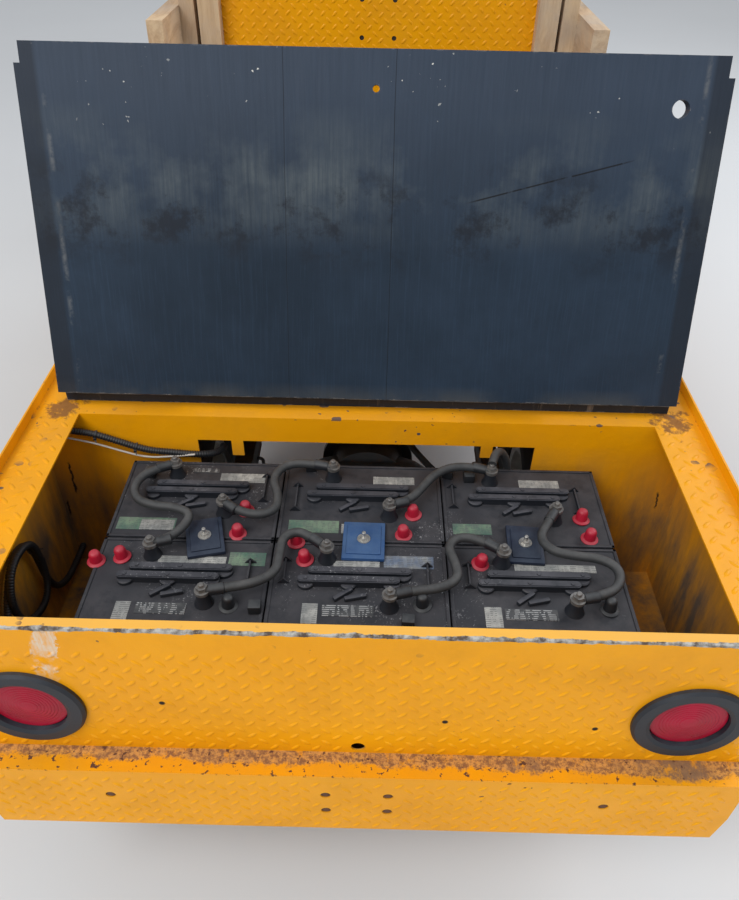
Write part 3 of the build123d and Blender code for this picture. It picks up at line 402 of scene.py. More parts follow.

# %% [markdown]
# The rear plate has marks of its own: a smear of white paint that ran down from the rim, three small screw holes
# drawn as dark discs of painted shade, and a top fold that boards and batteries have rubbed down to dull steel,
# with a painted highlight on its top face. Each is one more stain over the enamel.
# A mask is worked out from the height and the distance to a line, and a noise makes its edge ragged.

# %% Finish: rear plate


def rear_plate_finish():
    made = enamel("rear_enamel", wear=0.45, chip_cover=0.36)
    bay_low_darkening(made)
    place, x, y, z = made.where()
    ragged = made.noise(place, 70, 6, 0.7)
    smear_middle = abs(x + 0.388 + (rim_z - z) * 0.22)
    smear = (smear_middle < (ragged - 0.16) * 0.048) * z.to(0.562, 0.590)
    smear = smear * y.to(rear_y + 0.0006, rear_y + 0.0001) * made.noise(place, 24, 5, 0.7).to(0.38, 0.5)
    threads = made.streaks(place, (1.0, 1.0, 0.12), 190, 4)
    made.stain(smear * threads.to(0.36, 0.60, 0.25, 0.85), (0.74, 0.66, 0.55), 0.6)
    # The three screw holes are dark discs of painted shade, with a small dent.
    holes = [made.distance(place, (hole_x, rear_y, hole_z)).to(0.0048, 0.0034)
             for hole_x, hole_z in ((-0.266, 0.523), (0.1195, 0.4937), (0.3275, 0.4855))]
    made.stain(holes[0] | holes[1] | holes[2], (0.03, 0.022, 0.02), 0.9, 0.6)
    # The top face of the fold is painted a paler yellow: a painted highlight.
    made.stain(z.to(rim_z - 0.0012, rim_z - 0.0004) * 0.55, (0.86, 0.52, 0.13), 0.5)
    reach_in = made.streaks(place, (0.5, 1.0, 1.0), 44, 7).to(0.30, 0.66, 0.0008, 0.0062)
    bare = (rim_z - z | y - rear_y) < reach_in
    made.stain(bare, made.mix(ragged.to(0.40, 0.60), (0.10, 0.075, 0.06), (0.50, 0.49, 0.45)), 0.5)
    knocks = made.group("chips", scale=60, size=0.40, cover=0.47, gather=8)
    made.stain(knocks * z.to(rim_z - 0.045, rim_z - 0.02), (0.16, 0.09, 0.06), 0.85)
    return made


rear_paint = rear_plate_finish()
print("rear plate", rear_paint.material.name)

# %% [markdown]
# The step on top of the rear bumper is where boots and loads land, so its paint has gone in a long strip along
# the plate. The bare steel there is light brown with dark pits, and it is darkest on the right. The strip has a
# scalloped edge, which a coarse noise gives, and the pits come from a fine one.

# %% Finish: bumper with its worn step
step_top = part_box("rear_bumper")[1].z


def bumper_finish():
    made = enamel("bumper_enamel", wear=0.40, chip_cover=0.36)
    place, x, y, z = made.where()
    on_step = z.to(step_top - 0.004, step_top - 0.001)
    scallops = made.streaks(place, (1.0, 0.3, 0.3), 11, 3, 0.55)
    cover = y.to(rear_y - 0.036, rear_y - 0.004) * 0.62 + scallops * 0.55 + x.to(-0.50, 0.45, 0.0, 0.16)
    cover = cover + made.noise(place, 60, 8, 0.75) * 0.75
    islands = made.streaks(place, (1.0, 0.6, 1.0), 42).to(0.36, 0.46, 0.25, 1.0)
    pits = made.noise(place, 120, 8, 0.8).to(0.44, 0.56)
    brown = made.mix(pits, (0.64, 0.33, 0.10), (0.20, 0.10, 0.060))
    dark_ends = scallops.to(0.50, 0.60) * x.to(0.0, 0.30, 0.25, 1.0)
    brown = made.mix(dark_ends * 0.85, brown, (0.185, 0.125, 0.098))
    made.stain(on_step * islands * cover.to(0.99, 1.10) * 0.9, brown, 0.85, 0.4)
    made.stain(on_step * made.noise(place, 105, 3).to(0.62, 0.66), (0.12, 0.055, 0.035), 0.9)
    return made


bumper_paint = bumper_finish()
print("bumper", bumper_paint.material.name)

# %% [markdown]
# The lid and deck are plywood under old black paint. The lid's underside has fine upright grain, two open joints
# between veneers, a grey rubbed band across its upper half, a long scratch, and a darker border where it lies on
# the rim. Large, soft differences make it look like a real sheet. An even pattern would look like wallpaper.

# %% Finish: black painted board


def board_finish(name, streak, dark, light):
    made = Finish(name)
    fine = made.group("grain", **streak, scale=9, warp=0.02)
    clouds = made.group("patches", scale=2.4, cover=0.5, softness=0.22)
    blotches = made.group("patches", scale=11, cover=0.46, softness=0.12)
    colour = made.mix(blotches * 0.35, made.mix(clouds, dark, light), dark)
    colour = made.mix(fine.to(0.50, 0.80, 0.0, 0.35), colour, tuple(1.7 * part for part in light))
    wood = made.mix(fine.to(0.4, 0.6), (0.30, 0.26, 0.22), (0.46, 0.42, 0.38))
    colour = made.mix(made.group("edge wear", radius=0.0035, amount=0.50, scale=70), colour, wood)
    return made.feed(colour, clouds.to(0, 1, 0.40, 0.60), normal=made.bump(fine, 0.35, 0.0008),
                     specular_ior_level=0.3)


def lid_marks(made):
    """A painted sky reflection at the top of the lid's underside, and what years of use left there, down to the dust at
    its foot.
    """
    place, x, y, z = made.where()
    streaks = made.streaks(place, (26.0, 1.0, 1.0), 9)
    clouds = made.noise(place, 7, 6)
    foggy = made.noise(place, 13, 7, 0.7)
    from_middle = abs(x)
    wander = (made.noise(place, 5, 2, 0.5) - 0.5) * 0.004
    bent = x + wander
    # The upper lid turns a lighter blue: painted sky reflection.
    made.stain(z.to(0.92, 1.16) * streaks.to(0.25, 0.70, 0.4, 0.7), (0.048, 0.066, 0.100), 0.6)
    rubbed = z.within(0.985, 1.090, 0.045) * clouds.to(0.44, 0.62) * streaks.to(0.34, 0.68, 0.35, 1.0)
    made.stain(rubbed, (0.088, 0.108, 0.120), 0.7)
    made.stain(z.within(0.93, 1.04, 0.03) * foggy.to(0.52, 0.62) * 0.75, (0.006, 0.009, 0.016), 0.6)
    made.stain(from_middle.to(0.474, 0.480) * 0.55, (0.008, 0.010, 0.015), 0.6)
    rub_line = from_middle.within(0.466, 0.472, 0.002) * foggy.to(0.52, 0.62)
    made.stain(rub_line * 0.7, (0.13, 0.14, 0.15), 0.75)
    joints = bent.within(-0.1281, -0.1274, 0.0005) | bent.within(0.0312, 0.0320, 0.0005)
    made.stain(joints * 0.9, (0.003, 0.003, 0.004), 0.8)
    scratch = (z - x * 0.26 + wander).within(0.9716, 0.9734, 0.0007) * x.within(0.15, 0.375, 0.01)
    made.stain(scratch * made.noise(place, 40, 3).to(0.36, 0.46), (0.004, 0.004, 0.005), 0.8)
    flecks = made.group("chips", scale=110, size=0.20, cover=0.45, gather=9)
    made.stain(flecks * z.to(1.06, 1.17), (0.62, 0.62, 0.58), 0.8)
    made.stain(z.to(0.738, 0.716) * clouds.to(0.40, 0.58) * 0.5, (0.075, 0.075, 0.07), 0.8)


def deck_marks(made):
    """The deck's rear edge carries a pale bluish painted sky reflection, and loads have left long scuffs."""
    place, x, y, z = made.where()
    low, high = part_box("deck_board")
    # A pale bluish band along the deck's rear top edge: painted sky reflection.
    wear_and_glint = y.to(low.y + 0.016, low.y + 0.006) * z.to(high.z - 0.0040, high.z - 0.0028)
    made.stain(wear_and_glint * made.streaks(place, (0.4, 1.0, 1.0), 50).to(0.40, 0.56), (0.26, 0.30, 0.34), 0.7)
    slides = made.streaks(place, (12.0, 0.8, 1.0), 8, 7).to(0.58, 0.66)
    made.stain(slides * made.noise(place, 2.6).to(0.44, 0.60), (0.17, 0.15, 0.13), 0.8)


# The lid's blue-black colours are partly the paint's own tint and partly painted sky reflection.
lid_board = board_finish("black_lid_board", {"along_x": 34}, (0.0055, 0.0155, 0.0300), (0.019, 0.038, 0.068))
lid_marks(lid_board)
deck_paint = board_finish("black_deck_board", {"along_x": 34, "along_z": 34}, (0.008, 0.012, 0.019),
                          (0.026, 0.034, 0.048))
deck_marks(deck_paint)
print("boards", lid_board.material.name, deck_paint.material.name)

# %% [markdown]
# Raw softwood posts and rails: the grain runs along each piece, darker lines between pale ones, with greyed and
# dirty patches where hands and loads rub.

# %% Finish: timber


def timber(name, x, y, z):
    made = Finish(name)
    fine = made.group("grain", along_x=x, along_y=y, along_z=z, scale=14, warp=0.05)
    rings = made.group("grain", along_x=x * 0.35, along_y=y * 0.35, along_z=z * 0.35, scale=10, warp=0.16)
    lines = rings.to(0.42, 0.58)
    colour = made.mix(lines, (0.64, 0.46, 0.28), (0.46, 0.29, 0.16))
    colour = made.mix(fine.to(0.35, 0.75, 0.0, 0.5), colour, (0.74, 0.55, 0.34))
    grey = made.group("patches", scale=5, cover=0.42, softness=0.15)
    colour = made.mix(grey * 0.55, colour, (0.40, 0.38, 0.36))
    edges = made.group("edge wear", radius=0.004, amount=0.4, scale=40)
    colour = made.mix(edges * 0.6, colour, (0.25, 0.16, 0.09))
    normal = made.bump(lines, 0.25, 0.0006, made.bump(fine, 0.5, 0.0010))
    return made.feed(colour, fine.to(0.3, 0.7, 0.6, 0.85), normal=normal)


upright_timber = timber("upright_timber", 9.0, 9.0, 0.6)
level_timber = timber("level_timber", 9.0, 0.6, 9.0)
print("timber", upright_timber.material.name, level_timber.material.name)

# %% [markdown]
# Battery cases, caps, grommets and controls are moulded plastic or rubber. One recipe covers them: a colour with
# slight mottling, dust on top, and a fine grain. The inputs decide how dusty and how glossy each one is. The
# battery tops also carry crumbs of dried acid and dirt.

# %% Finishes: moulded plastic and rubber


def moulded(name, colour, dust_colour, dust=0.5, rough=0.5, grain=0.25, grain_scale=700.0, wear_and_glint=None):
    made = Finish(name)
    darker = tuple(0.65 * part for part in colour)
    base = made.mix(made.group("patches", scale=22, cover=0.5, softness=0.3), colour, darker)
    if wear_and_glint:
        base = made.mix(made.group("edge wear", radius=0.0015, amount=0.5, scale=180), base, wear_and_glint)
    settled = made.group("settled dust", amount=dust, scale=34)
    normal = made.bump(made.noise(made.place(), grain_scale, 3), grain, 0.0004)
    return made.feed(made.mix(settled, base, dust_colour), settled.to(0, 1, rough, 0.9), normal=normal)


def crumbs(made):
    """Pale specks gathered in some places, and dark stains, on what faces up."""
    facing_up = made.split(made.normal())[2].to(0.7, 0.9)
    dark = made.group("patches", scale=17, cover=0.44, softness=0.06)
    made.stain(dark * facing_up * 0.6, (0.012, 0.014, 0.020), 0.5)
    specks = made.group("chips", scale=330, size=0.42, cover=0.47, gather=11)
    made.stain(specks * facing_up, (0.24, 0.24, 0.25), 0.8)


battery_case = moulded("battery_case", (0.012, 0.015, 0.022), (0.105, 0.098, 0.105), 0.60, 0.55,
                       wear_and_glint=(0.07, 0.075, 0.09))
vent_plastic = moulded("vent_plastic", (0.014, 0.018, 0.026), (0.150, 0.145, 0.165), 0.65, 0.5)
crumbs(battery_case)
crumbs(vent_plastic)
cap_red = moulded("cap_red", (0.50, 0.008, 0.034), (0.46, 0.13, 0.15), 0.45, 0.45, 0.08)
cap_black = moulded("cap_black", (0.014, 0.016, 0.020), (0.12, 0.125, 0.13), 0.6, 0.45, 0.1)
cable_jacket = moulded("cable_jacket", (0.034, 0.037, 0.040), (0.135, 0.132, 0.130), 0.65, 0.6, 0.15)
loom_black = moulded("loom_black", (0.015, 0.017, 0.021), (0.10, 0.10, 0.10), 0.4, 0.45, 0.1)
wire_white = moulded("white_wire_jacket", (0.66, 0.62, 0.56), (0.5, 0.45, 0.4), 0.3, 0.45, 0.05)
pad_blue = moulded("pad_blue", (0.008, 0.016, 0.040), (0.060, 0.080, 0.115), 0.6, 0.55)
pad_bright = moulded("pad_bright", (0.022, 0.085, 0.25), (0.10, 0.17, 0.27), 0.55, 0.5)
grommet_rubber = moulded("grommet_rubber", (0.012, 0.017, 0.026), (0.085, 0.10, 0.125), 0.5, 0.5, 0.3)
black_rubber = moulded("black_rubber", (0.018, 0.018, 0.019), (0.12, 0.115, 0.11), 0.35, 0.65, 0.3)
wheel_plastic = moulded("wheel_plastic", (0.016, 0.016, 0.018), (0.08, 0.08, 0.08), 0.2, 0.35, 0.15)
tyre_rubber = moulded("tyre_rubber", (0.022, 0.022, 0.023), (0.13, 0.12, 0.11), 0.3, 0.75, 0.35, 420.0)
print("finishes so far", len(bpy.data.materials))

# %% [markdown]
# The frame, axles and motor are black under road dirt. Bolts, nuts and terminals are bright zinc gone dull. Wheels
# are white enamel, streaked with brake dust and rust around the nuts.

# %% Finishes: metals


def painted_steel(name, colour, rust_cover, rough=0.5):
    made = Finish(name)
    dirt = made.group("patches", scale=12, cover=0.5, softness=0.2)
    base = made.mix(dirt, colour, tuple(0.55 * part + 0.012 for part in colour))
    gone = made.group("patches", scale=18, cover=rust_cover, softness=0.06) | \
        made.group("edge wear", radius=0.003, amount=0.45, scale=60)
    base = made.mix(gone * 0.8, base, (0.15, 0.062, 0.028))
    base = made.mix(made.group("settled dust", amount=0.5, scale=20), base, (0.19, 0.17, 0.15))
    return made.feed(base, gone.to(0, 1, rough, 0.88),
                     normal=made.bump(made.noise(made.place(), 180, 5, 0.65), 0.3, 0.0007))


def bare_metal(name, colour, rough):
    made = Finish(name)
    tarnish = made.group("patches", scale=160, cover=0.45, softness=0.15)
    return made.feed(made.mix(tarnish * 0.7, colour, (0.22, 0.20, 0.18)), tarnish.to(0, 1, rough, rough + 0.3),
                     metallic=tarnish.to(0, 1, 0.95, 0.55),
                     normal=made.bump(made.noise(made.place(), 500), 0.15, 0.0003))


def wheel_enamel():
    made = Finish("wheel_enamel")
    grime = made.group("patches", scale=16, cover=0.52, softness=0.15)
    colour = made.mix(grime * 0.7, (0.66, 0.65, 0.61), (0.26, 0.23, 0.20))
    bare = made.group("chips", scale=120, size=0.32, cover=0.5, gather=9) | \
        made.group("edge wear", radius=0.003, amount=0.5, scale=90)
    return made.feed(made.mix(bare, colour, RUST), bare.to(0, 1, 0.38, 0.85),
                     normal=made.bump(made.noise(made.place(), 240, 3, 0.5), 0.12, 0.0005))


frame_black = painted_steel("frame_black", (0.030, 0.030, 0.032), 0.36)
spring_steel = painted_steel("spring_steel", (0.045, 0.040, 0.038), 0.46, 0.6)
cast_black = painted_steel("cast_black", (0.035, 0.035, 0.037), 0.38, 0.6)
hinge_black = painted_steel("hinge_black", (0.035, 0.033, 0.032), 0.50, 0.5)
rusty_steel = painted_steel("rusty_steel", (0.050, 0.030, 0.022), 0.60, 0.7)
lamp_black = painted_steel("lamp_black", (0.028, 0.028, 0.030), 0.28, 0.35)
zinc = bare_metal("zinc", (0.62, 0.61, 0.58), 0.34)
lead_grey = bare_metal("lead_grey", (0.25, 0.245, 0.24), 0.5)
rim_white = wheel_enamel()
print("finishes so far", len(bpy.data.materials))

# %% [markdown]
# The tail lens is deep red plastic over a reflector, and the headlamp glass is pressed with fine upright flutes.
# The vinyl of the seat has a leather-like grain of small cells, with creases in it where people sit.

# %% Finishes: lenses, vinyl and floor


def red_lens():
    made = Finish("red_lens")
    haze = made.group("patches", scale=14, cover=0.5, softness=0.25)
    rings = made.bands(made.place(), 95, "X", Distortion=0.4)
    return made.feed(made.mix(haze, (0.24, 0.001, 0.010), (0.46, 0.004, 0.036)), haze.to(0, 1, 0.22, 0.40),
                     normal=made.bump(rings, 0.08, 0.0006), specular_ior_level=0.22)


def lamp_glass():
    made = Finish("lamp_glass")
    flutes = made.bands(made.place(), 34, "X")
    return made.feed((0.86, 0.89, 0.90), 0.12, metallic=0.0, transmission_weight=0.35,
                     normal=made.bump(flutes, 0.5, 0.002))


def vinyl():
    made = Finish("black_vinyl")
    wear_and_glint = made.group("patches", scale=5, cover=0.46, softness=0.2)
    colour = made.mix(wear_and_glint, (0.016, 0.016, 0.017), (0.045, 0.043, 0.041))
    colour = made.mix(made.group("settled dust", amount=0.18, scale=10), colour, (0.14, 0.13, 0.12))
    normal = made.bump(made.node("TexVoronoi", {"Vector": made.place(), "Scale": 420}), 0.35, 0.0006)
    normal = made.bump(made.group("patches", scale=11, cover=0.5, softness=0.1), 0.12, 0.002, normal)
    return made.feed(colour, wear_and_glint.to(0, 1, 0.42, 0.58), normal=normal)


def floor_finish():
    made = Finish("pale_floor")
    return made.feed(made.mix(made.noise(made.place(), 0.7, 4, 0.5), (0.66, 0.67, 0.68), (0.72, 0.73, 0.74)), 0.85)


lens_red, glass, black_vinyl = red_lens(), lamp_glass(), vinyl()
print("finishes", len(bpy.data.materials))

# %% [markdown]
# Each CAD node that keeps its own shape gets one of the finishes. A loop over a short table does it, so that no
# node is forgotten. A name in the table stands for every node whose name starts with it.

# %% Finish the CAD nodes
finish_of = {
    body_paint: "side_panels bay_wall deck_beams battery_tray bulkhead", rear_paint: "rear_plate",
    bumper_paint: "rear_bumper", cab_paint: "front_bumper seat_base floor_pan wheel_wells cowl",
    frame_black: "frame_rails steering_column brake_lever", spring_steel: "leaf_springs",
    cast_black: "rear_axle drive_motor front_axle knuckle_ tie_rod drag_link pitman_arm",
    wheel_plastic: "steering_wheel", black_rubber: "pedals", lamp_black: "dash_panel headlamp_shells",
    glass: "headlamp_lenses", grommet_rubber: "tail_grommets", lens_red: "tail_lenses",
    lid_board: "battery_lid", deck_paint: "deck_board", hinge_black: "deck_hinges lid_hinges",
    upright_timber: "timber_posts", level_timber: "timber_rails", pad_blue: "hold_downs",
    battery_case: "battery_front battery_rear", rim_white: "rim_",
}
for finish, names in finish_of.items():
    for name, node in nodes.items():
        if name.startswith(tuple(names.split())):
            node.data.materials.clear()
            node.data.materials.append(finish.material)
print("finished nodes", sum(1 for node in nodes.values() if node.data.materials))

# %% [markdown]
# Pieces are made as plain mesh data in the vehicle's own frame, in millimetres until the mesh is written: lists of
# corners and faces, joined into one object where there are many alike. Four shapes cover most of them: a bevelled
# block, a turned profile, a flat outline with thickness, and a skin over rings of corners.

# %% Mesh helpers


def box(node):
    """The CAD node's lowest and highest corner in mm."""
    return [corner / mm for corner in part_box(node)]


def circle(middle, side, other, radius, sides):
    """Corners round a middle, in the plane of two directions."""
    return [middle + (side * cos(angle) + other * sin(angle)) * radius
            for angle in (2 * pi * i / sides for i in range(sides))]


class Shape:
    """Corners in mm, and faces, gathered from several simple solids."""

    def __init__(self):
        self.corners, self.faces = [], []

    def add(self, corners, faces):
        start = len(self.corners)
        self.corners += [Vector(corner) for corner in corners]
        self.faces += [[start + i for i in face] for face in faces]
        return self

    def block(self, low, high, bevel=0.0, turn=0.0):
        """A bevelled block; turn is in degrees about a vertical axis through its middle."""
        mesh = bmesh.new()
        bmesh.ops.create_cube(mesh, size=1.0)
        low, high = Vector(low), Vector(high)
        for vertex in mesh.verts:
            vertex.co = vertex.co * (high - low)
        if bevel:
            bmesh.ops.bevel(mesh, geom=mesh.edges[:], offset=bevel, segments=2, profile=0.5, affect="EDGES")
        mesh.verts.index_update()
        spin = Matrix.Rotation(radians(turn), 4, "Z")
        self.add([spin @ v.co + (low + high) / 2 for v in mesh.verts], [[v.index for v in f.verts] for f in mesh.faces])
        mesh.free()
        return self

    def block_at(self, middle, low, high, bevel=0.0, turn=0.0):
        """A block whose two corners are given from a middle."""
        return self.block(middle + Vector(low), middle + Vector(high), bevel, turn)

    def turned(self, profile, origin, axis=Z, sides=24):
        """A solid turned about an axis; the profile is (distance along, radius), and a zero radius closes it."""
        axis = Vector(axis).normalized()
        across = axis.orthogonal().normalized()
        corners, rings = [], []
        for along, radius in profile:
            middle = Vector(origin) + axis * along
            ring = circle(middle, across, axis.cross(across), radius, sides) if radius else [middle]
            rings.append(range(len(corners), len(corners) + len(ring)))
            corners += ring
        faces = []
        for below, above in zip(rings, rings[1:]):
            for i in range(sides):
                j = (i + 1) % sides
                if len(below) > 1 and len(above) > 1:
                    faces.append((below[i], below[j], above[j], above[i]))
                elif len(above) > 1:
                    faces.append((below[0], above[j], above[i]))
                elif len(below) > 1:
                    faces.append((below[i], below[j], above[0]))
        return self.add(corners, faces)

    def skin(self, rings, closed=False, first_end=True, last_end=True):
        """Faces from ring to ring; a closed skin meets its own start, and an open one has flat ends."""
        sides, count = len(rings[0]), len(rings)
        faces = [(a * sides + i, a * sides + (i + 1) % sides, b * sides + (i + 1) % sides, b * sides + i)
                 for a, b in ((a, (a + 1) % count) for a in range(count if closed else count - 1))
                 for i in range(sides)]
        if first_end and not closed:
            faces.append(range(sides))
        if last_end and not closed:
            faces.append(range((count - 1) * sides, count * sides))
        return self.add([corner for ring in rings for corner in ring], faces)

    def slab(self, outline, low, high, plane="xy"):
        """A flat outline with thickness, in a plane along two axes."""
        first, second = ("xyz".index(axis) for axis in plane)
        rings = []
        for level in (low, high):
            ring = [Vector((level,) * 3) for spot in outline]
            for corner, spot in zip(ring, outline):
                corner[first], corner[second] = spot
            rings.append(ring)
        return self.skin(rings)

    def sweep(self, stations, side, sides):
        """A tube through stations (spot, way, radius); its side is carried along without twist."""
        rings = []
        for spot, way, radius in stations:
            side = (side - way * side.dot(way)).normalized()
            rings.append(circle(spot, side, way.cross(side), radius, sides))
        return self.skin(rings)


def mesh_of(name, shape):
    data = bpy.data.meshes.new(name)
    data.from_pydata([corner * mm for corner in shape.corners], [], shape.faces)
    return data


def placed(name, data):
    made = bpy.data.objects.new(name, data)
    scene.collection.objects.link(made)
    return made


def piece(name, shape, finish, body="root", smooth=35, replaces=None):
    """Make the object, with clean normals, and ride it on its body."""
    data = mesh_of(name, shape)
    clean = bmesh.new()
    clean.from_mesh(data)
    bmesh.ops.recalc_face_normals(clean, faces=clean.faces[:])
    clean.to_mesh(data)
    clean.free()
    data.materials.append(finish.material)
    if smooth:
        data.shade_smooth()
        data.set_sharp_from_angle(angle=radians(smooth))
    made = placed(name, data)
    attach(made, body)
    if replaces:
        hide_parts(replaces)
    return made


reach = 60 / mm                         # the floor goes on for 60 m each way
sheet = Shape().add([(x, y, 0) for x, y in ((-reach, -reach), (reach, -reach), (reach, reach), (-reach, reach))],
                    [range(4)])
floor = placed("floor", mesh_of("floor", sheet))
floor.data.materials.append(floor_finish().material)
print("floor", floor.name)

# %% [markdown]
# The body is folded from tread plate: raised lozenges, two ways round in turn, rolled into the sheet. They catch
# the light as real relief does, so each one is a small mesh. A loop lays them on a grid, leaves out those that
# would meet a hole or an edge, and joins all of one plate into a single piece.

# %% Tread plate
tread_pitch, tread_height = 15, 1.45
lozenge_long, lozenge_wide = 10.8, 4.0  # half of its length and of its width
edge_clear, hole_clear = 0.72, 0.9      # what stays bare at an edge and round a hole, in half lengths


def lozenge(shape, middle, along, across, out):
    """One raised lozenge: a pointed base outline and a narrower top."""
    outline = [(-1.0, 0.0), (-0.45, -0.85), (0.45, -0.85), (1.0, 0.0), (0.45, 0.85), (-0.45, 0.85)]
    shape.skin([[middle + along * (a * lozenge_long * scale) + across * (b * lozenge_wide * scale) + out * height
                 for a, b in outline] for scale, height in ((1.0, 0), (0.58, tread_height))], first_end=False)


def tread_field(shape, corner, along, across, size, holes=(), bare_ends=0):
    """Lay lozenges on a rectangle; holes are (a, b, radius) from its corner."""
    corner = Vector(corner)
    ways = ((along + across).normalized(), (along - across).normalized())
    margin = lozenge_long * edge_clear
    counts = [int((length - 2 * margin) / tread_pitch) for length in size]
    slack = [(length - count * tread_pitch) / 2 for length, count in zip(size, counts)]
    for i in range(counts[0] + 1):
        for j in range(i % 2, counts[1] + 1, 2):
            a, b = slack[0] + i * tread_pitch, slack[1] + j * tread_pitch
            in_hole = any(hypot(a - x, b - y) < radius + lozenge_long * hole_clear for x, y, radius in holes)
            if not in_hole and min(a, size[0] - a) > bare_ends:
                way = i % 2
                lozenge(shape, corner + along * a + across * b, ways[way], ways[1 - way], along.cross(across))


def upright(low, high, holes=(), bare_top=0, bare_ends=0, looks_back=True):
    """A field on an upright plate across the vehicle; its holes are (x, z, radius) in the vehicle's frame."""
    corner, along = (low, X) if looks_back else (Vector((high.x, high.y, low.z)), -X)
    holes = [(abs(x - corner.x), z - low.z, radius) for x, z, radius in holes]
    return corner, along, Z, (high.x - low.x, high.z - low.z - bare_top), holes, bare_ends


(plate_low, plate_high), (bumper_low, bumper_high) = box("rear_plate"), box("rear_bumper")
(panel_low, panel_high), bay_low = box("side_panels"), box("bay_wall")[0]
(bulk_low, bulk_high), (lamp_low, lamp_high) = box("bulkhead"), box("tail_grommets")
(floor_low, floor_high), (nose_low, nose_high) = box("floor_pan"), box("front_bumper")
tyre_low, tyre_high = box("tyre_rear_left")
rear_wheel, front_wheel = ((tyre_low + tyre_high) / 2, sum(box("tyre_front_left"), Vector()) / 2)
skin = 3
smooth_band = 43                        # the rear plate is rubbed smooth under its top fold
lamp_radius, lamp_z = (lamp_high.z - lamp_low.z) / 2, (lamp_high.z + lamp_low.z) / 2
lamp_x = lamp_high.x - lamp_radius
drain_z, drain_radius = 423, 10
bay_floor, bay_top, rim_top = 345, 672, 680
flange_width, flange_inset = 76, 20
arch_radius = 278
top_fold, bolt_clear, bumper_ends = 12, 7.5, 20
bolt_spots = [(-45.5, 354), (45.5, 354), (-45.5, 308), (45.5, 308), (-361, 340), (361, 340)]
bolt_holes = [(x, z, bolt_clear) for x, z in bolt_spots]
panel_holes = [(x, z, 6) for x in (-42, 42) for z in (996, 1084)]
lamp_holes = [(lamp_x, lamp_z, lamp_radius), (-lamp_x, lamp_z, lamp_radius), (0, drain_z, drain_radius)]
cab_floor, well_inner, dash_front = 358, 232, 1186
column_spot, column_clear = (-70, 1260), 50
entry_start, well_start = box("seat_base")[1].y, box("wheel_wells")[0].y
flange_long = box("deck_board")[0].y - panel_low.y - flange_inset
panel_size = (panel_high.y - panel_low.y, panel_high.z - panel_low.z)

fields = {                              # piece and finish: corner, two directions, size, holes, bare ends
    ("rear_tread", rear_paint): [
        upright(Vector((plate_low.x, plate_low.y, bumper_high.z)), plate_high, lamp_holes, smooth_band)],
    ("bumper_tread", bumper_paint): [upright(bumper_low, bumper_high, bolt_holes, top_fold, bumper_ends)],
    ("bay_tread", body_paint): [
        ((side * (panel_high.x - skin), bay_low.y if side < 0 else plate_low.y + skin, bay_floor), Y * side, Z,
         (bay_low.y - plate_low.y - skin, bay_top - bay_floor)) for side in (-1, 1)],
    ("flange_tread", body_paint): [
        ((start, panel_low.y + flange_inset, rim_top), X, Y, (flange_width - skin, flange_long))
        for start in (panel_low.x + skin, panel_high.x - flange_width)],
    ("side_tread", body_paint): [
        ((side * panel_high.x, start, panel_low.z), Y * side, Z, panel_size,
         [(abs(rear_wheel.y - start), rear_wheel.z - panel_low.z, arch_radius)])
        for side, start in ((-1, panel_high.y), (1, panel_low.y))],
    ("bulkhead_tread", body_paint): [upright(bulk_low, bulk_high, panel_holes)],
    ("floor_tread", cab_paint): [
        ((floor_low.x, entry_start, cab_floor), X, Y, (floor_high.x - floor_low.x, well_start - entry_start)),
        ((-well_inner, well_start, cab_floor), X, Y, (2 * well_inner, dash_front - well_start),
         [(column_spot[0] + well_inner, column_spot[1] - well_start, column_clear)])],
    ("front_tread", cab_paint): [upright(nose_low, nose_high, bolt_holes, top_fold, bumper_ends, looks_back=False)],
}
lozenges = 0
for (name, finish), rectangles in fields.items():
    relief = Shape()
    for rectangle in rectangles:
        tread_field(relief, *rectangle)
    piece(name, relief, finish, smooth=80)
    lozenges += len(relief.faces) // 7  # each has six sides and a top
print("lozenges", lozenges)

# %% [markdown]
# Six golf-car batteries fill the bay. The case comes from CAD. On top go the pieces that are moulded on or
# screwed down: two vent manifolds with their caps, fins, and terminals with nuts. All six share one set of shapes,
# placed from a table per battery.

# %% Battery tops
battery_top = 600.5
pack_x, pack_y = -4.5, -1238
pitch_x, pitch_y = 259, 179
post_a, post_b = (-48, 55), (44, -32)
cable_height, cable_radius = 25.5, 7    # the height is above the battery's top


def battery_middle(column, row):
    return Vector((pack_x + column * pitch_x, pack_y + row * pitch_y / 2, battery_top))


def post_at(column, row, post, height=0):
    return battery_middle(column, row) + Vector((*post, height))


def rounded_bar(shape, middle, length, width, low, high):
    """A bar with round ends, such as a vent manifold."""
    radius = width / 2
    outline = [(middle.x + end * (length / 2 - radius) + radius * cos(radians(start + step * 22.5)),
                middle.y + radius * sin(radians(start + step * 22.5)))
               for end, start in ((1, -90), (-1, 90)) for step in range(9)]
    shape.slab(outline, middle.z + low, middle.z + high)


def vent_manifolds(shape, middle):
    """Two bars side by side, each over three round vent caps, with two small flaps in front."""
    for low, high, offset in ((-74, 76, 24), (-88, 59, 7)):
        centre = middle + Vector(((low + high) / 2, offset, 0))
        length = high - low
        rounded_bar(shape, centre, length, 12.4, 9.5, 12.5)
        rounded_bar(shape, centre, length - 3, 9.4, 12.5, 13.6)
        for step in (-1, 0, 1):
            cap = centre + X * step * (length / 2 - 12)
            shape.turned([(0, 0), (0, 12.5), (5, 12.5), (6.5, 11), (6.5, 0)], cap, Z, 20)
            shape.turned([(13, 3.6), (14.6, 3.2), (14.6, 0)], cap, Z, 12)
    for x, y, turn in ((-22, -14, 38), (-4, -19, 14)):
        shape.block_at(middle + Vector((x, y, 0)), (-16, -3.5, 0), (16, 3.5, 7), 1.6, turn)


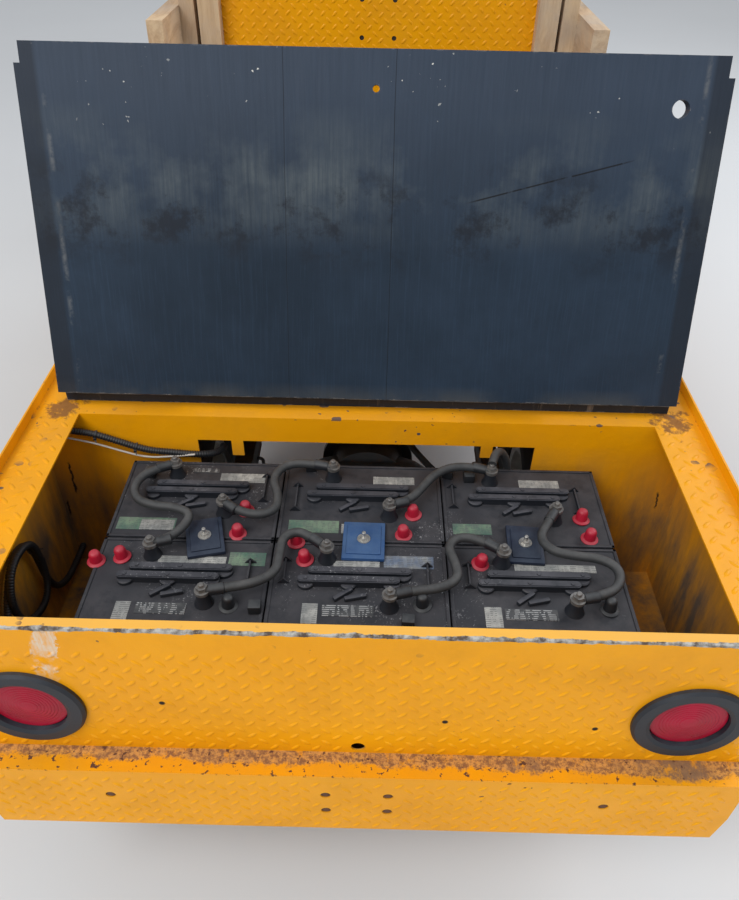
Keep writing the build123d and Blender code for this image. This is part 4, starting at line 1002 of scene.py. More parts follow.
def fin(shape, middle, x, y_high, y_low):
    """A thin upright fin with a gusset at each end, which keeps a lifting strap in place."""
    shape.block_at(middle, (x - 1.4, y_low, 0), (x + 1.4, y_high, 7), 0.6)
    x = middle.x + x
    for end in (middle.y + y_low, middle.y + y_high):
        shape.slab([(x - 9, middle.z), (x + 9, middle.z), (x, middle.z + 10)], end - 1.2, end + 1.2, "xz")


def raised_rim(shape, middle, half_x=128, half_y=87.8, width=5):
    """The battery lid's raised edge."""
    for low, high in (((-half_x, -half_y), (half_x, -half_y + width)), ((-half_x, half_y - width), (half_x, half_y)),
                      ((-half_x, -half_y), (-half_x + width, half_y)), ((half_x - width, -half_y), (half_x, half_y))):
        shape.block_at(middle, (*low, -1), (*high, 1.6), 0.7)


def hex_nut(shape, spot, low, high, radius, turn=0.3):
    shape.slab([(spot[0] + radius * cos(turn + i * pi / 3), spot[1] + radius * sin(turn + i * pi / 3))
                for i in range(6)], low, high)


def terminal(shape, foot, spot):
    """A moulded foot, then the lead washer, nut and stud over the cable's lug."""
    foot.turned([(0, 0), (0, 14), (4, 12.5), (10, 10), (22.3, 9.4), (22.3, 0)], spot)
    top = spot + Z * 26
    shape.turned([(0, 0), (0, 11), (2, 11), (2, 0)], top)
    hex_nut(shape, spot, top.z + 2, top.z + 8.5, 8)
    shape.turned([(0, 4), (13, 4), (14, 3.2), (14, 0)], top, Z, 16)


mouldings, vents, terminals = Shape(), Shape(), Shape()
fins = {                                # column, row: the fins' x, far end and near end from the middle
    (-1, 1): [(101, 54, -4)], (-1, -1): [(99, 44, 5)],
    (0, 1): [(-105, 34, -22)], (0, -1): [(-108, 50, 8), (100, 44, 2)],
    (1, 1): [(-112, 40, -8), (88, 38, -14)], (1, -1): [(-99, 48, 6)],
}
for (column, row), fin_spots in fins.items():
    middle = battery_middle(column, row)
    vent_manifolds(vents, middle)
    raised_rim(mouldings, middle)
    for fin_spot in fin_spots:
        fin(mouldings, middle, *fin_spot)
    for post in (post_a, post_b):
        terminal(terminals, mouldings, post_at(column, row, post))
piece("battery_mouldings", mouldings, battery_case)
piece("battery_vents", vents, vent_plastic)
piece("battery_terminals", terminals, lead_grey)
print("batteries", len(fins))

# %% [markdown]
# The protector caps are pushed over the posts that aren't in use, so they stand a little askew. They are domed,
# with a flange at the foot.

# %% Terminal caps


def push_cap(shape, x, y, height, most_lean):
    radius = 10.5
    lean = (random.uniform(-most_lean, most_lean), random.uniform(-most_lean, most_lean))
    profile = [(0, 0), (0, 1.25), (1.8, 1.28), (3.0, 1.10), (3.8, 0.88), (height * 0.74, 0.80),
               (height * 0.90, 0.66), (height * 0.98, 0.42), (height, 0)]
    shape.turned([(along, share * radius) for along, share in profile], (x, y, battery_top),
                 (sin(lean[0]), sin(lean[1]), 1))


random.seed(7)
red_spots = [(-186, -1176), (-192, -1226), (-391, -1288), (-355, -1279), (78, -1176), (62, -1220), (-101, -1242),
             (-85, -1276), (342, -1178), (347, -1219), (174, -1276)]
black_spots = [(-185, -1365), (86, -1355), (348, -1356)]
square_spots = [(-355, -1096), (-147, -1371), (-91, -1071), (65, -1389), (172, -1089), (137, -1081)]
red_caps, black_caps = Shape(), Shape()
for x, y in red_spots:
    push_cap(red_caps, x, y, 22, 0.12)
for x, y in black_spots:
    push_cap(black_caps, x, y, 24, 0.1)
for x, y in square_spots:
    black_caps.block_at(Vector((x, y, battery_top)), (-9, -8, 0), (9, 8, 15), 2,
                        degrees(random.uniform(-0.2, 0.2)))
piece("red_caps", red_caps, cap_red)
piece("black_caps", black_caps, cap_black)
print("caps", len(red_spots) + len(black_spots) + len(square_spots))

# %% [markdown]
# The labels have faded to dusty strips, some with a green or blue band. They are left without words: a pale
# sheet, a coloured band and rows of grey dashes that stand for small print.

# %% Finish and pieces: blank labels


def label_finish(name, paper, band, ink=(0.06, 0.07, 0.075)):
    made = Finish(name)
    place = made.place()
    rows = made.bands(place, 90, "Y") > 0.62
    dashes = made.streaks(place, (260.0, 60.0, 1.0), 1, 1, 0.5) > 0.5
    colour = made.mix(made.group("patches", scale=26, cover=0.5, softness=0.1), paper, band)
    colour = made.mix(rows * dashes * 0.6, colour, ink)
    colour = made.mix(made.group("settled dust", amount=0.75, scale=70), colour, (0.12, 0.12, 0.12))
    return made.feed(colour, 0.6, normal=made.bump(made.noise(place, 300, 3), 0.1, 0.0003))


pale = label_finish("label_pale", (0.55, 0.54, 0.50), (0.30, 0.31, 0.30))
green = label_finish("label_green", (0.20, 0.30, 0.19), (0.05, 0.15, 0.10))
blue = label_finish("label_blue", (0.10, 0.16, 0.28), (0.32, 0.33, 0.33))
small_print = label_finish("label_print", (0.020, 0.024, 0.030), (0.030, 0.034, 0.040), (0.75, 0.76, 0.76))
label_spots = [                         # column, row, low x and y, high x and y from the battery's middle, finish
    (-1, 1, (24, 40), (98, 62), pale), (-1, 1, (-118, -72), (-28, -46), green),
    (-1, 1, (-82, -72), (-30, -50), pale), (-1, -1, (-38, 40), (62, 54), pale),
    (-1, -1, (66, 38), (120, 64), green), (-1, -1, (-79, -65), (-58, -33), pale),
    (0, 1, (18, 44), (86, 62), pale), (0, 1, (-112, -70), (-34, -44), green),
    (0, 1, (-30, -70), (20, -50), pale), (0, -1, (36, 40), (110, 64), blue),
    (0, -1, (-78, -64), (-56, -29), pale), (0, -1, (-38, 40), (30, 52), pale),
    (1, 1, (0, 42), (66, 62), pale), (1, 1, (-116, -66), (-56, -44), green),
    (1, -1, (-30, 40), (90, 54), pale), (1, -1, (-82, -63), (-58, -28), pale),
    (-1, -1, (-50, -53), (20, -34), small_print), (0, -1, (-50, -50), (22, -31), small_print),
    (1, -1, (-54, -49), (20, -30), small_print), (-1, 1, (-24, 62), (20, 72), small_print),
]
for index, (column, row, low, high, finish) in enumerate(label_spots):
    sheet = Shape().block_at(battery_middle(column, row), (*low, -0.1), (*high, 0.35 + index * 0.02))
    piece("label_" + str(index), sheet, finish, smooth=0)
print("labels", len(label_spots))

# %% [markdown]
# Thick jumpers tie the six batteries in series. Each is one smooth curve through the same points as its CAD
# tube, which it replaces, and each ends in a crimped sleeve and a flat lug under the nut.

# %% Jumpers


def route_curve(points, resolution):
    """A NURBS curve of order 3 through control points in mm."""
    data = bpy.data.curves.new("route", "CURVE")
    data.dimensions = "3D"
    line = data.splines.new("NURBS")
    line.points.add(len(points) - 1)
    for knot, point in zip(line.points, points):
        knot.co = tuple(Vector(point) * mm) + (1,)
    line.order_u = 3
    line.use_endpoint_u = True
    line.resolution_u = resolution
    return data


def round_cord(name, points, radius, finish, replaces):
    data = route_curve(points, 10)
    data.bevel_depth = radius * mm
    data.bevel_resolution = 5
    data.use_fill_caps = True
    data.materials.append(finish.material)
    made = placed(name, data)
    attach(made, "root")
    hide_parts(replaces)


jumpers = [                             # first post, points between, last post
    ((-1, 1, post_a), [(-350, -1112), (-367, -1145), (-357, -1179), (-325, -1194), (-290, -1196),
                       (-263, -1210), (-270, -1240), (-292, -1266)], (-1, -1, post_a)),
    ((-1, 1, post_b), [(-196, -1200), (-160, -1210), (-134, -1195), (-136, -1160), (-148, -1128),
                       (-138, -1096), (-105, -1082)], (0, 1, post_a)),
    ((-1, -1, post_b), [(-190, -1353), (-150, -1344), (-121, -1322), (-120, -1286), (-119, -1254),
                        (-98, -1240), (-75, -1254)], (0, -1, post_a)),
    ((0, 1, post_b), [(70, -1170), (92, -1138), (112, -1106), (140, -1086), (175, -1084)], (1, 1, post_a)),
    ((0, -1, post_b), [(72, -1350), (108, -1346), (137, -1328), (134, -1296), (124, -1266),
                       (142, -1244), (176, -1250)], (1, -1, post_a)),
    ((1, 1, post_b), [(280, -1212), (263, -1244), (278, -1270), (312, -1278), (348, -1282),
                      (370, -1302), (362, -1334), (334, -1352)], (1, -1, post_b)),
]
lugs, sleeves = Shape(), Shape()
for number, (first, between, last) in enumerate(jumpers):
    points = [Vector((x, y, battery_top + cable_height)) for x, y in between]
    points = [post_at(*first, cable_height)] + points + [post_at(*last, cable_height)]
    round_cord("jumper_" + str(number), points, cable_radius, cable_jacket, "battery_cables")
    for end, near in ((points[0], points[1]), (points[-1], points[-2])):
        sleeves.turned([(9, 0), (9, 8.2), (30, 8.4), (31, 7.2), (31, 0)], end, near - end, 20)
        lugs.turned([(-13, 0), (-13, 10.5), (-9, 10.5), (-9, 0)], end + Z * 10)
lead_start = post_at(1, 1, post_a)
lead = [(lead_start.x, lead_start.y, 641), (212, -1073, 646), (225, -1056, 638), (238, -1049, 614),
        (244, -1048, 581), (244, -1048.5, 544), (240, -1040, 508), (226, -1016, 478), (200, -976, 454),
        (166, -922, 438), (132, -862, 426), (104, -800, 416), (80, -738, 408), (60, -682, 400), (48, -640, 390),
        (44, -614, 370), (44, -596, 366)]
round_cord("motor_lead", lead, cable_radius, cable_jacket, "battery_cables")
piece("jumper_sleeves", sleeves, cap_black, replaces="battery_cables")
piece("jumper_lugs", lugs, lead_grey, replaces="battery_cables")
print("jumpers", len(jumpers))

# %% [markdown]
# The lamp wiring runs in split corrugated conduit. Its rings are a ripple in the tube's radius, and the tube
# follows points read from the route's own smooth curve. A white wire lies beside it where it is tied up.

# %% Wiring loom


def points_on(points):
    """The points in mm that Blender itself gives for the smooth curve through the control points."""
    carrier = bpy.data.objects.new("route", route_curve(points, 24))
    mesh = bpy.data.meshes.new_from_object(carrier)
    found = [vertex.co / mm for vertex in mesh.vertices]
    bpy.data.objects.remove(carrier)
    return found


def conduit(name, path, radius=6, ripple=1.0, pitch=4.2):
    travelled = [0.0]
    for before, after in zip(path, path[1:]):
        travelled.append(travelled[-1] + (after - before).length)
    steps = int(travelled[-1] / pitch) * 4
    stations, index = [], 0
    for step in range(steps + 1):
        goal = travelled[-1] * step / steps
        while index < len(path) - 2 and travelled[index + 1] < goal:
            index += 1
        way = (path[index + 1] - path[index]).normalized()
        stations.append((path[index] + way * (goal - travelled[index]), way,
                         radius - (ripple if step % 4 in (0, 3) else 0.0)))
    tube = Shape().sweep(stations, Vector((0.2, 0.3, 1)), 14)
    piece(name, tube, loom_black, smooth=50, replaces="wiring_loom")


over_wall = [(-547.5, -1049, 662), (-522, -1049, 656), (-490, -1049, 654), (-455, -1049, 649), (-415, -1049, 633),
             (-372, -1049, 616), (-330, -1048, 612), (-290, -1046, 606), (-262, -1030, 596), (-250, -1000, 584),
             (-262, -962, 560), (-270, -930, 520), (-270, -900, 470), (-270, -880, 415), (-270, -880, 355.3)]
beside_lamp = [(-452, -1435.7, 508), (-452, -1412, 508), (-472, -1394, 496), (-500, -1376, 476), (-527, -1346, 478),
               (-537, -1318, 510), (-537, -1290, 546), (-537, -1252, 568), (-537, -1216, 556), (-537, -1196, 520),
               (-537, -1192, 478), (-537, -1186, 432), (-537, -1164, 392), (-537, -1124, 370), (-537, -1080, 366),
               (-537, -1036.5, 366)]
spare_turn = [(-531, -1196, 500), (-529, -1200, 540), (-528, -1232, 570), (-528, -1280, 572), (-528, -1310, 535),
              (-529, -1308, 485), (-530, -1276, 442), (-530, -1226, 424), (-531, -1194, 448), (-532, -1192, 498)]
wall_path, lamp_path = points_on(over_wall), points_on(beside_lamp)
conduit("loom_over_wall", wall_path)
conduit("loom_beside_lamp", lamp_path)
conduit("loom_spare_turn", points_on(spare_turn))
wire_drops = (-8, -14, -17, -16, -13, -6, 4)    # how far the white wire hangs under the conduit, point by point
round_cord("white_wire", [Vector(point) + Vector((0, -4.5, drop)) for point, drop in zip(over_wall[1:8], wire_drops)],
           1.7, wire_white, "wiring_loom")
print("points on the looms", len(wall_path), len(lamp_path))

# %% [markdown]
# Nylon ties hold the loom. Each is a thin band round the conduit, a square head, and a tail that sticks out
# because nobody trimmed it.

# %% Cable ties


def cable_tie(shape, spot, way, radius, tail_way, tail):
    way, tail_way = way.normalized(), Vector(tail_way).normalized()
    half, outer = 1.3, radius + 1.1
    shape.turned([(-half, radius), (-half, outer), (half, outer), (half, radius), (-half, radius)], spot, way, 20)
    head = spot + tail_way * (radius + 1.5)
    shape.block_at(head, (-2.4,) * 3, (2.4,) * 3, 0.6)
    side = way.cross(tail_way).normalized() * 0.5
    ends = [head + way * part + side * sign for part, sign in ((-1.1, -1), (-1.1, 1), (1.1, 1), (1.1, -1))]
    shape.skin([ends, [corner + tail_way * tail + way * 3 for corner in ends]])


ties = Shape()
tie_spots = [                           # loom, share of its length, way and length of the tail
    (wall_path, 0.06, (0.1, -0.5, -1), 22), (wall_path, 0.20, (0, -1, -0.6), 6), (wall_path, 0.32, (0, -1, -0.5), 6),
    (lamp_path, 0.16, (1, 0.2, 0.3), 16), (lamp_path, 0.60, (1, 0, 0.3), 12),
]
for path, share, tail_way, tail in tie_spots:
    at = int(share * (len(path) - 2))
    cable_tie(ties, path[at], path[at + 1] - path[at], 6.2, tail_way, tail)
piece("cable_ties", ties, cap_black)
print("ties", len(tie_spots))

# %% [markdown]
# Three plastic hold-down blocks bridge the two rows, each with a washer, a nut and a stud that goes down
# between the cases. The middle one is a newer, brighter blue.

# %% Hold-downs
hold_nuts = Shape()
pads = [(-240, 56, 14, pad_blue), (1, 64, -1, pad_bright), (245, 54, -3, pad_blue)]    # x, width, turn, finish
for number, (x, width, turn, finish) in enumerate(pads):
    middle = Vector((x, pack_y, battery_top))
    pad = Shape().block_at(middle, (-width / 2, -38, 0.3), (width / 2, 38, 7), 1.6, turn)
    pad.block_at(middle, (6 - width / 2, -30, 5), (width / 2 - 6, 30, 9), 1.4, turn)
    piece("hold_down_" + str(number), pad, finish, replaces="hold_downs")
    spot = middle + Z * 9
    hold_nuts.turned([(0, 0), (0, 10), (1.4, 10), (1.4, 0)], spot, Z, 20)
    hex_nut(hold_nuts, spot, spot.z + 1.4, spot.z + 5.7, 6.5)
    hold_nuts.turned([(0, 3), (14, 3), (15, 2.2), (15, 0)], spot, Z, 12)
piece("hold_down_nuts", hold_nuts, zinc)
print("hold-downs", len(pads))

# %% [markdown]
# The tail lens sits a little behind its rubber ring and is pressed in rings, which shows as fine circles of light.
# A profile with small steps, turned about the lamp's axis, gives them. A flat disc would read as a sticker. The
# headlamps get a bright ring that holds the glass.

# %% Lamp lenses and rings
lens_steps = [(0, 0), (0, 53), (32.5, 53), (34.0, 51.5), (34.4, 47), (34.1, 45.5)]
for ring in range(8):
    outer, rise = 44 - ring * 4.4, 34.4 + ring * 0.36
    lens_steps += [(rise, outer), (rise + 0.2, outer - 2.2), (rise + 0.05, outer - 4.0)]
lens_steps += [(37.2, 7), (37.4, 0)]
bezel = [(3.5, 73), (6.5, 73.5), (9.5, 78), (13.6, 82), (13.9, 86), (13.4, 88), (13.2, 77), (3.5, 75.8), (3.5, 73)]
lens_back, cowl_front, headlamp_x = box("tail_lenses")[1].y, box("cowl")[1].y, 385
headlamp_z = sum(box("headlamp_lenses"), Vector()).z / 2
ringed, bezels = Shape(), Shape()
for side in (-1, 1):
    ringed.turned(lens_steps, (side * lamp_x, lens_back, lamp_z), -Y, 64)
    bezels.turned(bezel, (side * headlamp_x, cowl_front, headlamp_z), Y, 64)
piece("ringed_lenses", ringed, lens_red, replaces="tail_lenses")
piece("lamp_rings", bezels, zinc)
print("lens steps", len(lens_steps))

# %% [markdown]
# The tyres carry a ribbed road tread: five ribs, with zigzag grooves between them and notches on the shoulders.
# A texture could fake this, but the outline and the shadow need real grooves. The section is a list of
# points, and a loop turns it about the axle, moving the groove edges from side to side as it goes.

# %% Tyres
crown = (tyre_high.z - tyre_low.z) / 2
tyre_steps, zigzags, notches = 180, 36, 60    # round the whole tyre
zigzag_reach, notch_share, notch_in, notch_deep, rib_notch = 2.4, 0.34, 1.5, 4.0, 2.6
side_wall = [                           # across from the middle, radius
    (46, 102.2), (49, 107), (50.5, 116.8), (54.5, 119), (58, 124), (63.5, 140), (64.6, 143), (64.2, 146),
    (67.6, 160), (69.4, 176), (69.9, 190), (69.0, 203), (67.4, 206), (66.6, 212), (64.0, 219), (61.0, 225),
]
shoulder = [(58.5, 229.5), (55.0, 232.4)]
ribs = [(53, 41), (35, 26), (20, 7)]    # each rib from its outer to its inner edge; the middle one is whole
groove_floor, camber = 227.0, 0.00055


def tyre_section(share):
    """Half of the section at a share of the turn, from the bead to the middle of the tread."""
    zigzag = zigzag_reach * (abs((share * zigzags) % 1.0 - 0.5) * 4 - 1)
    notch = (share * notches) % 1.0 < notch_share
    points = side_wall + [(across - notch_in * notch, radius - notch_deep * notch) for across, radius in shoulder]
    for outer, inner in ribs:
        outermost = outer == ribs[0][0]
        top = crown - camber * outer ** 2 - rib_notch * (outermost and notch)
        points += [(outer + (0 if outermost else zigzag), top),
                   (inner + zigzag, crown - camber * inner ** 2),
                   (inner - 1 + zigzag, groove_floor), (inner - 5 + zigzag, groove_floor)]
    return points


def tyre_mesh(middle):
    rings = []
    for step in range(tyre_steps):
        share = step / tyre_steps
        other_half = tyre_section((share + 0.5 / zigzags) % 1.0)
        section = [(-across, radius) for across, radius in tyre_section(share)] + [(0.0, groove_floor)]
        way = Y * cos(2 * pi * share) + Z * sin(2 * pi * share)
        rings.append([middle + X * across + way * radius for across, radius in section + other_half[::-1]])
    return Shape().skin(rings, closed=True)


wheels = ["rear_left", "rear_right", "front_left", "front_right"]
for wheel in wheels:
    piece("road_tyre_" + wheel, tyre_mesh(sum(box("tyre_" + wheel), Vector()) / 2), tyre_rubber,
          "wheel_" + wheel, 40, "tyre_" + wheel)
print("tyre faces", len(tyre_mesh(Vector()).faces))

# %% [markdown]
# Each wheel also has a valve, five stud ends in its nuts and a clamped-on balance weight.

# %% Wheel trim
for wheel in wheels:
    out = X * (-1 if "left" in wheel else 1)
    hub = sum(box("rim_" + wheel), Vector()) / 2
    hub.x = sum(box("tyre_" + wheel), Vector()).x / 2
    valve = Shape().turned([(0, 0), (0, 5.5), (4, 5.2), (8, 3.4), (24, 3.2), (25, 4.1), (33, 4.0), (34, 3), (34, 0)],
                           hub + Z * 91 + out * 7, out - Z * 0.12, 16)
    piece("valve_" + wheel, valve, black_rubber, "wheel_" + wheel)
    trim = Shape().turned([(0, 0), (0, 3.2), (16, 3.2), (18, 2.4), (18, 0)], hub + out * 38 + Z * 54, out, 12)
    for nut in range(5):
        angle = 2 * pi * nut / 5
        stud = hub + Vector((0, -54 * sin(angle), 54 * cos(angle))) + out * 39
        trim.turned([(0, 0), (0, 5), (5, 5), (6.4, 4), (6.4, 0)], stud, out, 14)
    for step in range(7):
        angle = 2.2 + step * 0.045
        spot = hub + Vector((0, 112 * cos(angle), 112 * sin(angle))) + out * 50
        trim.block_at(spot, (-3.4, -3.4, -3.4), (3.0, 3.4, 3.4), 1)
    piece("wheel_trim_" + wheel, trim, zinc, "wheel_" + wheel)
print("wheels dressed", len(wheels))

# %% [markdown]
# The bench is a boxed vinyl cushion over foam, sewn in four panels. The cloth simulation swells a slightly
# smaller block with air pressure. Its seams and underside are pinned, so the panels rise between them as stuffed
# ones do. Sculpting the bulges by hand would also work, but pressure gives the puckers at the seams for free.

# %% Cushion cores
cushion_inset, cushion_bevel = 7, 13    # of the block that the core starts from
voxel = 8 * mm
swell_limit = 15 * mm
channel_depth, channel_half = 9 * mm, 1.6 * voxel
face_layer, seam_layer, back_layer, edge_layer = 10 * mm, 16 * mm, 5 * mm, 4 * mm
welt_drop, welt_half, seam_half = 11 * mm, 0.6 * voxel, 0.55 * voxel
panel_seams = [-225 * mm, 0.0, 225 * mm]


def evaluated(thing):
    """A new mesh with the object's modifiers applied."""
    return bpy.data.meshes.new_from_object(thing.evaluated_get(bpy.context.evaluated_depsgraph_get()))


def cushion_core(name, node, axis):
    """A rounded, remeshed block with its seams and back in a pin group; its face looks along the axis."""
    low, high = box(node)
    inner_low, inner_high = (low + Vector((cushion_inset,) * 3), high - Vector((cushion_inset,) * 3))
    inner_low[axis] = low[axis] + 0.4
    core = placed(name, mesh_of(name, Shape().block(inner_low, inner_high, cushion_bevel)))
    remesh = core.modifiers.new("voxels", "REMESH")
    remesh.mode = "VOXEL"
    remesh.voxel_size = voxel
    fine = evaluated(core)
    core.modifiers.clear()
    core.data = fine
    inner_low, inner_high = inner_low * mm, inner_high * mm
    face_level = inner_high[axis]
    pinned = []
    for vertex in fine.vertices:
        place = vertex.co
        from_seam = min(abs(place.x - seam) for seam in panel_seams)
        if place[axis] > face_level - face_layer:
            place[axis] -= max(0.0, 1.0 - from_seam / channel_half) * channel_depth
        at_back = place[axis] < inner_low[axis] + back_layer
        on_seam = place[axis] > face_level - seam_layer and from_seam < seam_half
        edge_gap = min(min(place[i] - inner_low[i], inner_high[i] - place[i]) for i in (0, 3 - axis))
        on_welt = abs(place[axis] - (face_level - welt_drop)) < welt_half and edge_gap < edge_layer
        if at_back or on_seam or on_welt:
            pinned.append(vertex.index)
    core.vertex_groups.new(name="sewn").add(pinned, 1.0, "REPLACE")
    return core


def start_cloth(core):
    cloth = core.modifiers.new("swell", "CLOTH").settings
    cloth.quality = 5
    cloth.use_pressure = True
    cloth.uniform_pressure_force = 4.0
    cloth.vertex_group_mass = "sewn"
    cloth.effector_weights.gravity = 0
    cloth.tension_stiffness = cloth.compression_stiffness = 12


def take_shape(core, rest):
    """Keep the swollen shape, with each point's travel capped, and add one subdivision."""
    swollen = evaluated(core)
    core.modifiers.clear()
    core.data = swollen
    widest = 0.0
    for vertex, start in zip(swollen.vertices, rest):
        travel = vertex.co - start
        widest = max(widest, travel.length)
        if travel.length > swell_limit:
            vertex.co = start + travel * (swell_limit / travel.length)
    finer = core.modifiers.new("finer", "SUBSURF")
    finer.levels = finer.render_levels = 1
    fine = evaluated(core)
    core.modifiers.clear()
    core.data = fine
    fine.materials.clear()
    fine.materials.append(black_vinyl.material)
    fine.shade_smooth()
    return widest


cushions = {"seat_cushion": cushion_core("bench_cushion", "seat_cushion", 2),
            "seat_back": cushion_core("bench_back", "seat_back", 1)}
rests = [[vertex.co.copy() for vertex in core.data.vertices] for core in cushions.values()]
print("points in the cores", [len(rest) for rest in rests])

# %% [markdown]
# Pressure pushes the free points outwards for twenty frames, and then the shape is kept as a plain mesh.

# %% Swell the cushions
for core in cushions.values():
    start_cloth(core)
for frame_number in range(1, 21):
    scene.frame_set(frame_number)
travels = [take_shape(core, rest) for core, rest in zip(cushions.values(), rests)]
scene.frame_set(1)
for node, core in cushions.items():
    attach(core, "root")
    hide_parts(node)
print("furthest travel", [round(travel / mm, 1) for travel in travels], "mm")

# %% [markdown]
# A welt, which is a thin cord sewn into the seam, runs round each cushion's face.

# %% Welts
gap, welt_corner, welt_depth, welt_radius = 5.5, 14, 18, 3.2


def welt(shape, node, normal, flat):
    """A round cord round the node's face, in the plane of x and the flat axis."""
    low, high = box(node)
    face = high * Vector(normal) - Vector(normal) * welt_depth
    points = []
    for right_side, far_side, start in ((1, 1, 0), (0, 1, 90), (0, 0, 180), (1, 0, 270)):
        x = high.x - gap - welt_corner if right_side else low.x + gap + welt_corner
        b = high[flat] - gap - welt_corner if far_side else low[flat] + gap + welt_corner
        for step in range(7):
            angle = radians(start + 90 * step / 6)
            point = face + X * (x + welt_corner * cos(angle))
            point[flat] = b + welt_corner * sin(angle)
            points.append(point)
    rings = []
    for index, point in enumerate(points):
        way = (points[(index + 1) % len(points)] - points[index - 1]).normalized()
        rings.append(circle(point, way.cross(normal), normal, welt_radius, 10))
    shape.skin(rings, closed=True)


welts = Shape()
welt(welts, "seat_cushion", Z, 1)
welt(welts, "seat_back", Y, 2)
piece("cushion_welts", welts, black_vinyl)
print("welt corners", len(welts.corners))

# %% [markdown]
# Bolts and screws hold the timber, the panel, the hinges and the springs. They are small turned heads in a few
# kinds, each kind placed from a table and joined into one object per body.

# %% Fasteners


def pan_head(shape, spot, out, radius=5.5):
    shape.turned([(0, 0), (0, radius), (0.35 * radius, radius * 0.95), (0.62 * radius, radius * 0.6),
                  (0.68 * radius, 0)], spot, out, 18)


def hex_bolt(shape, spot, out, radius, height):
    shape.turned([(0, 0), (0, radius * 1.35), (1.6, radius * 1.35), (1.6, 0)], spot, out, 20)
    shape.turned([(1.6, 0), (1.6, radius), (height, radius), (height + 0.6, radius * 0.8), (height + 0.6, 0)], spot,
                 out, 6)


fasteners, lid_screws, bumper_bolts = Shape(), Shape(), Shape()
rail_side = box("timber_rails")[1].x
deck_leaf_top = box("deck_board")[1].z + 3
hinge_pin = Vector((0, -1000, 704))
lid_lean = radians(17.4)
up_lid = Vector((0, sin(lid_lean), cos(lid_lean)))
out_lid = Vector((0, cos(lid_lean), -sin(lid_lean)))
for x in (-438, 438):
    for z in (715, 860, 1010, 1125):
        pan_head(fasteners, (x, bulk_low.y, z), -Y)
for side in (-1, 1):
    for y in (168, 622):
        for z in (1003, 1048):
            pan_head(fasteners, (side * rail_side, y, z), X * side, 9)
for leaf_middle in (-346, 252):
    for x in (-32, 0, 32):
        pan_head(fasteners, (leaf_middle + x, -968 if x == 0 else -972, deck_leaf_top), Z, 4.5)
        pan_head(lid_screws, hinge_pin + X * (leaf_middle + x) + up_lid * 28 - out_lid * 3, out_lid, 4.5)
for face_y, out in ((bumper_low.y, -Y), (nose_high.y, Y)):
    for x, z in bolt_spots:
        bumper_bolts.turned([(-7, 0), (-7, 7.3), (-1.6, 7.3), (-1.6, 5), (-0.6, 4.6), (-0.4, 0)], (x, face_y, z),
                            out, 20)
piece("fasteners", fasteners, zinc)
piece("lid_screws", lid_screws, zinc, "lid")
piece("bumper_bolts", bumper_bolts, rusty_steel)
print("fastener faces", len(fasteners.faces) + len(lid_screws.faces) + len(bumper_bolts.faces))

# %% [markdown]
# U-bolts clamp each spring to its axle, with a plate and four nuts below. A U-bolt is a rod bent twice, so it is
# one tube along a short rounded line.

# %% Spring clamps
clamps = Shape()
leg, foot_z, top, bend = 28.5, 190, 296, 9
corner = [(bend - bend * cos(radians(a)), bend * sin(radians(a)) - bend) for a in (30, 60, 90)]
half_line = [(-leg, foot_z), (-leg, top - bend)] + [(-leg + a, top + b) for a, b in corner]
u_line = half_line + [(-x, z) for x, z in half_line[::-1]]
for spring_x, axle_y, plate_top in ((270, rear_wheel.y, 202.6), (205, front_wheel.y, 208.6)):
    for x in (-spring_x, spring_x):
        for y in (axle_y - 30, axle_y + 30):
            line = [Vector((x + a, y, z)) for a, z in u_line]
            stations = [(spot, (line[min(i + 1, len(line) - 1)] - line[max(i - 1, 0)]).normalized(), 4)
                        for i, spot in enumerate(line)]
            clamps.sweep(stations, Y, 10)
            for nut_x in (x - leg, x + leg):
                hex_bolt(clamps, (nut_x, y, plate_top - 6), -Z, 7.5, 7)
        clamps.block((x - 38, axle_y - 40, plate_top - 6), (x + 38, axle_y + 40, plate_top), 1)
piece("spring_clamps", clamps, spring_steel)
print("clamp faces", len(clamps.faces))

# %% [markdown]
# The steering wheel is a hard plastic ring with finger grips moulded under it, three spokes and a horn button.

# %% Steering wheel
wheel_low, wheel_high = box("steering_wheel")
wheel_lean = radians(34)
wheel_axis = Vector((0, -sin(wheel_lean), cos(wheel_lean)))
wheel_up = wheel_axis.cross(X)
wheel_radius = (wheel_high.x - wheel_low.x) / 2
wheel_middle = Vector(((wheel_low.x + wheel_high.x) / 2, 850, 1083))
grip, ring_steps, ring_sides = 12, 96, 14
rings = []
for step, spoke in enumerate(circle(Vector(), X, wheel_up, 1, ring_steps)):
    bump = 1.0 + 0.07 * cos(step * pi / 2)
    ring = []
    for angle in (2 * pi * i / ring_sides for i in range(ring_sides)):
        thick = grip * 0.93 * (bump if sin(angle) < -0.2 else 1.0)
        ring.append(wheel_middle + spoke * (wheel_radius - grip + cos(angle) * thick) + wheel_axis * sin(angle) * thick)
    rings.append(ring)
steer_ring = Shape().skin(rings, closed=True)
for angle in (90, 210, 330):
    way = X * cos(radians(angle)) + wheel_up * sin(radians(angle))
    across = wheel_axis.cross(way)
    steer_ring.skin([[wheel_middle + way * share * wheel_radius - wheel_axis * drop + across * a * half_width
                      + wheel_axis * b * half_thick for a, b in ((-1, -0.6), (-0.8, 1), (0.8, 1), (1, -0.6), (0, -1))]
                     for share, half_width, half_thick, drop in ((0.12, 17, 5.5, 7), (0.5, 11.5, 4.2, 5),
                                                                 (0.94, 13, 4.5, 0))])
steer_ring.turned([(-106, 0), (-106, 10), (-36, 10), (-36, 30), (-30, 34), (0, 34), (7, 31), (8, 25), (8, 0)],
                  wheel_middle, wheel_axis, 36)
horn = Shape().turned([(7.2, 0), (7.2, 19), (10, 18.5), (12, 14), (12.6, 0)], wheel_middle, wheel_axis, 32)
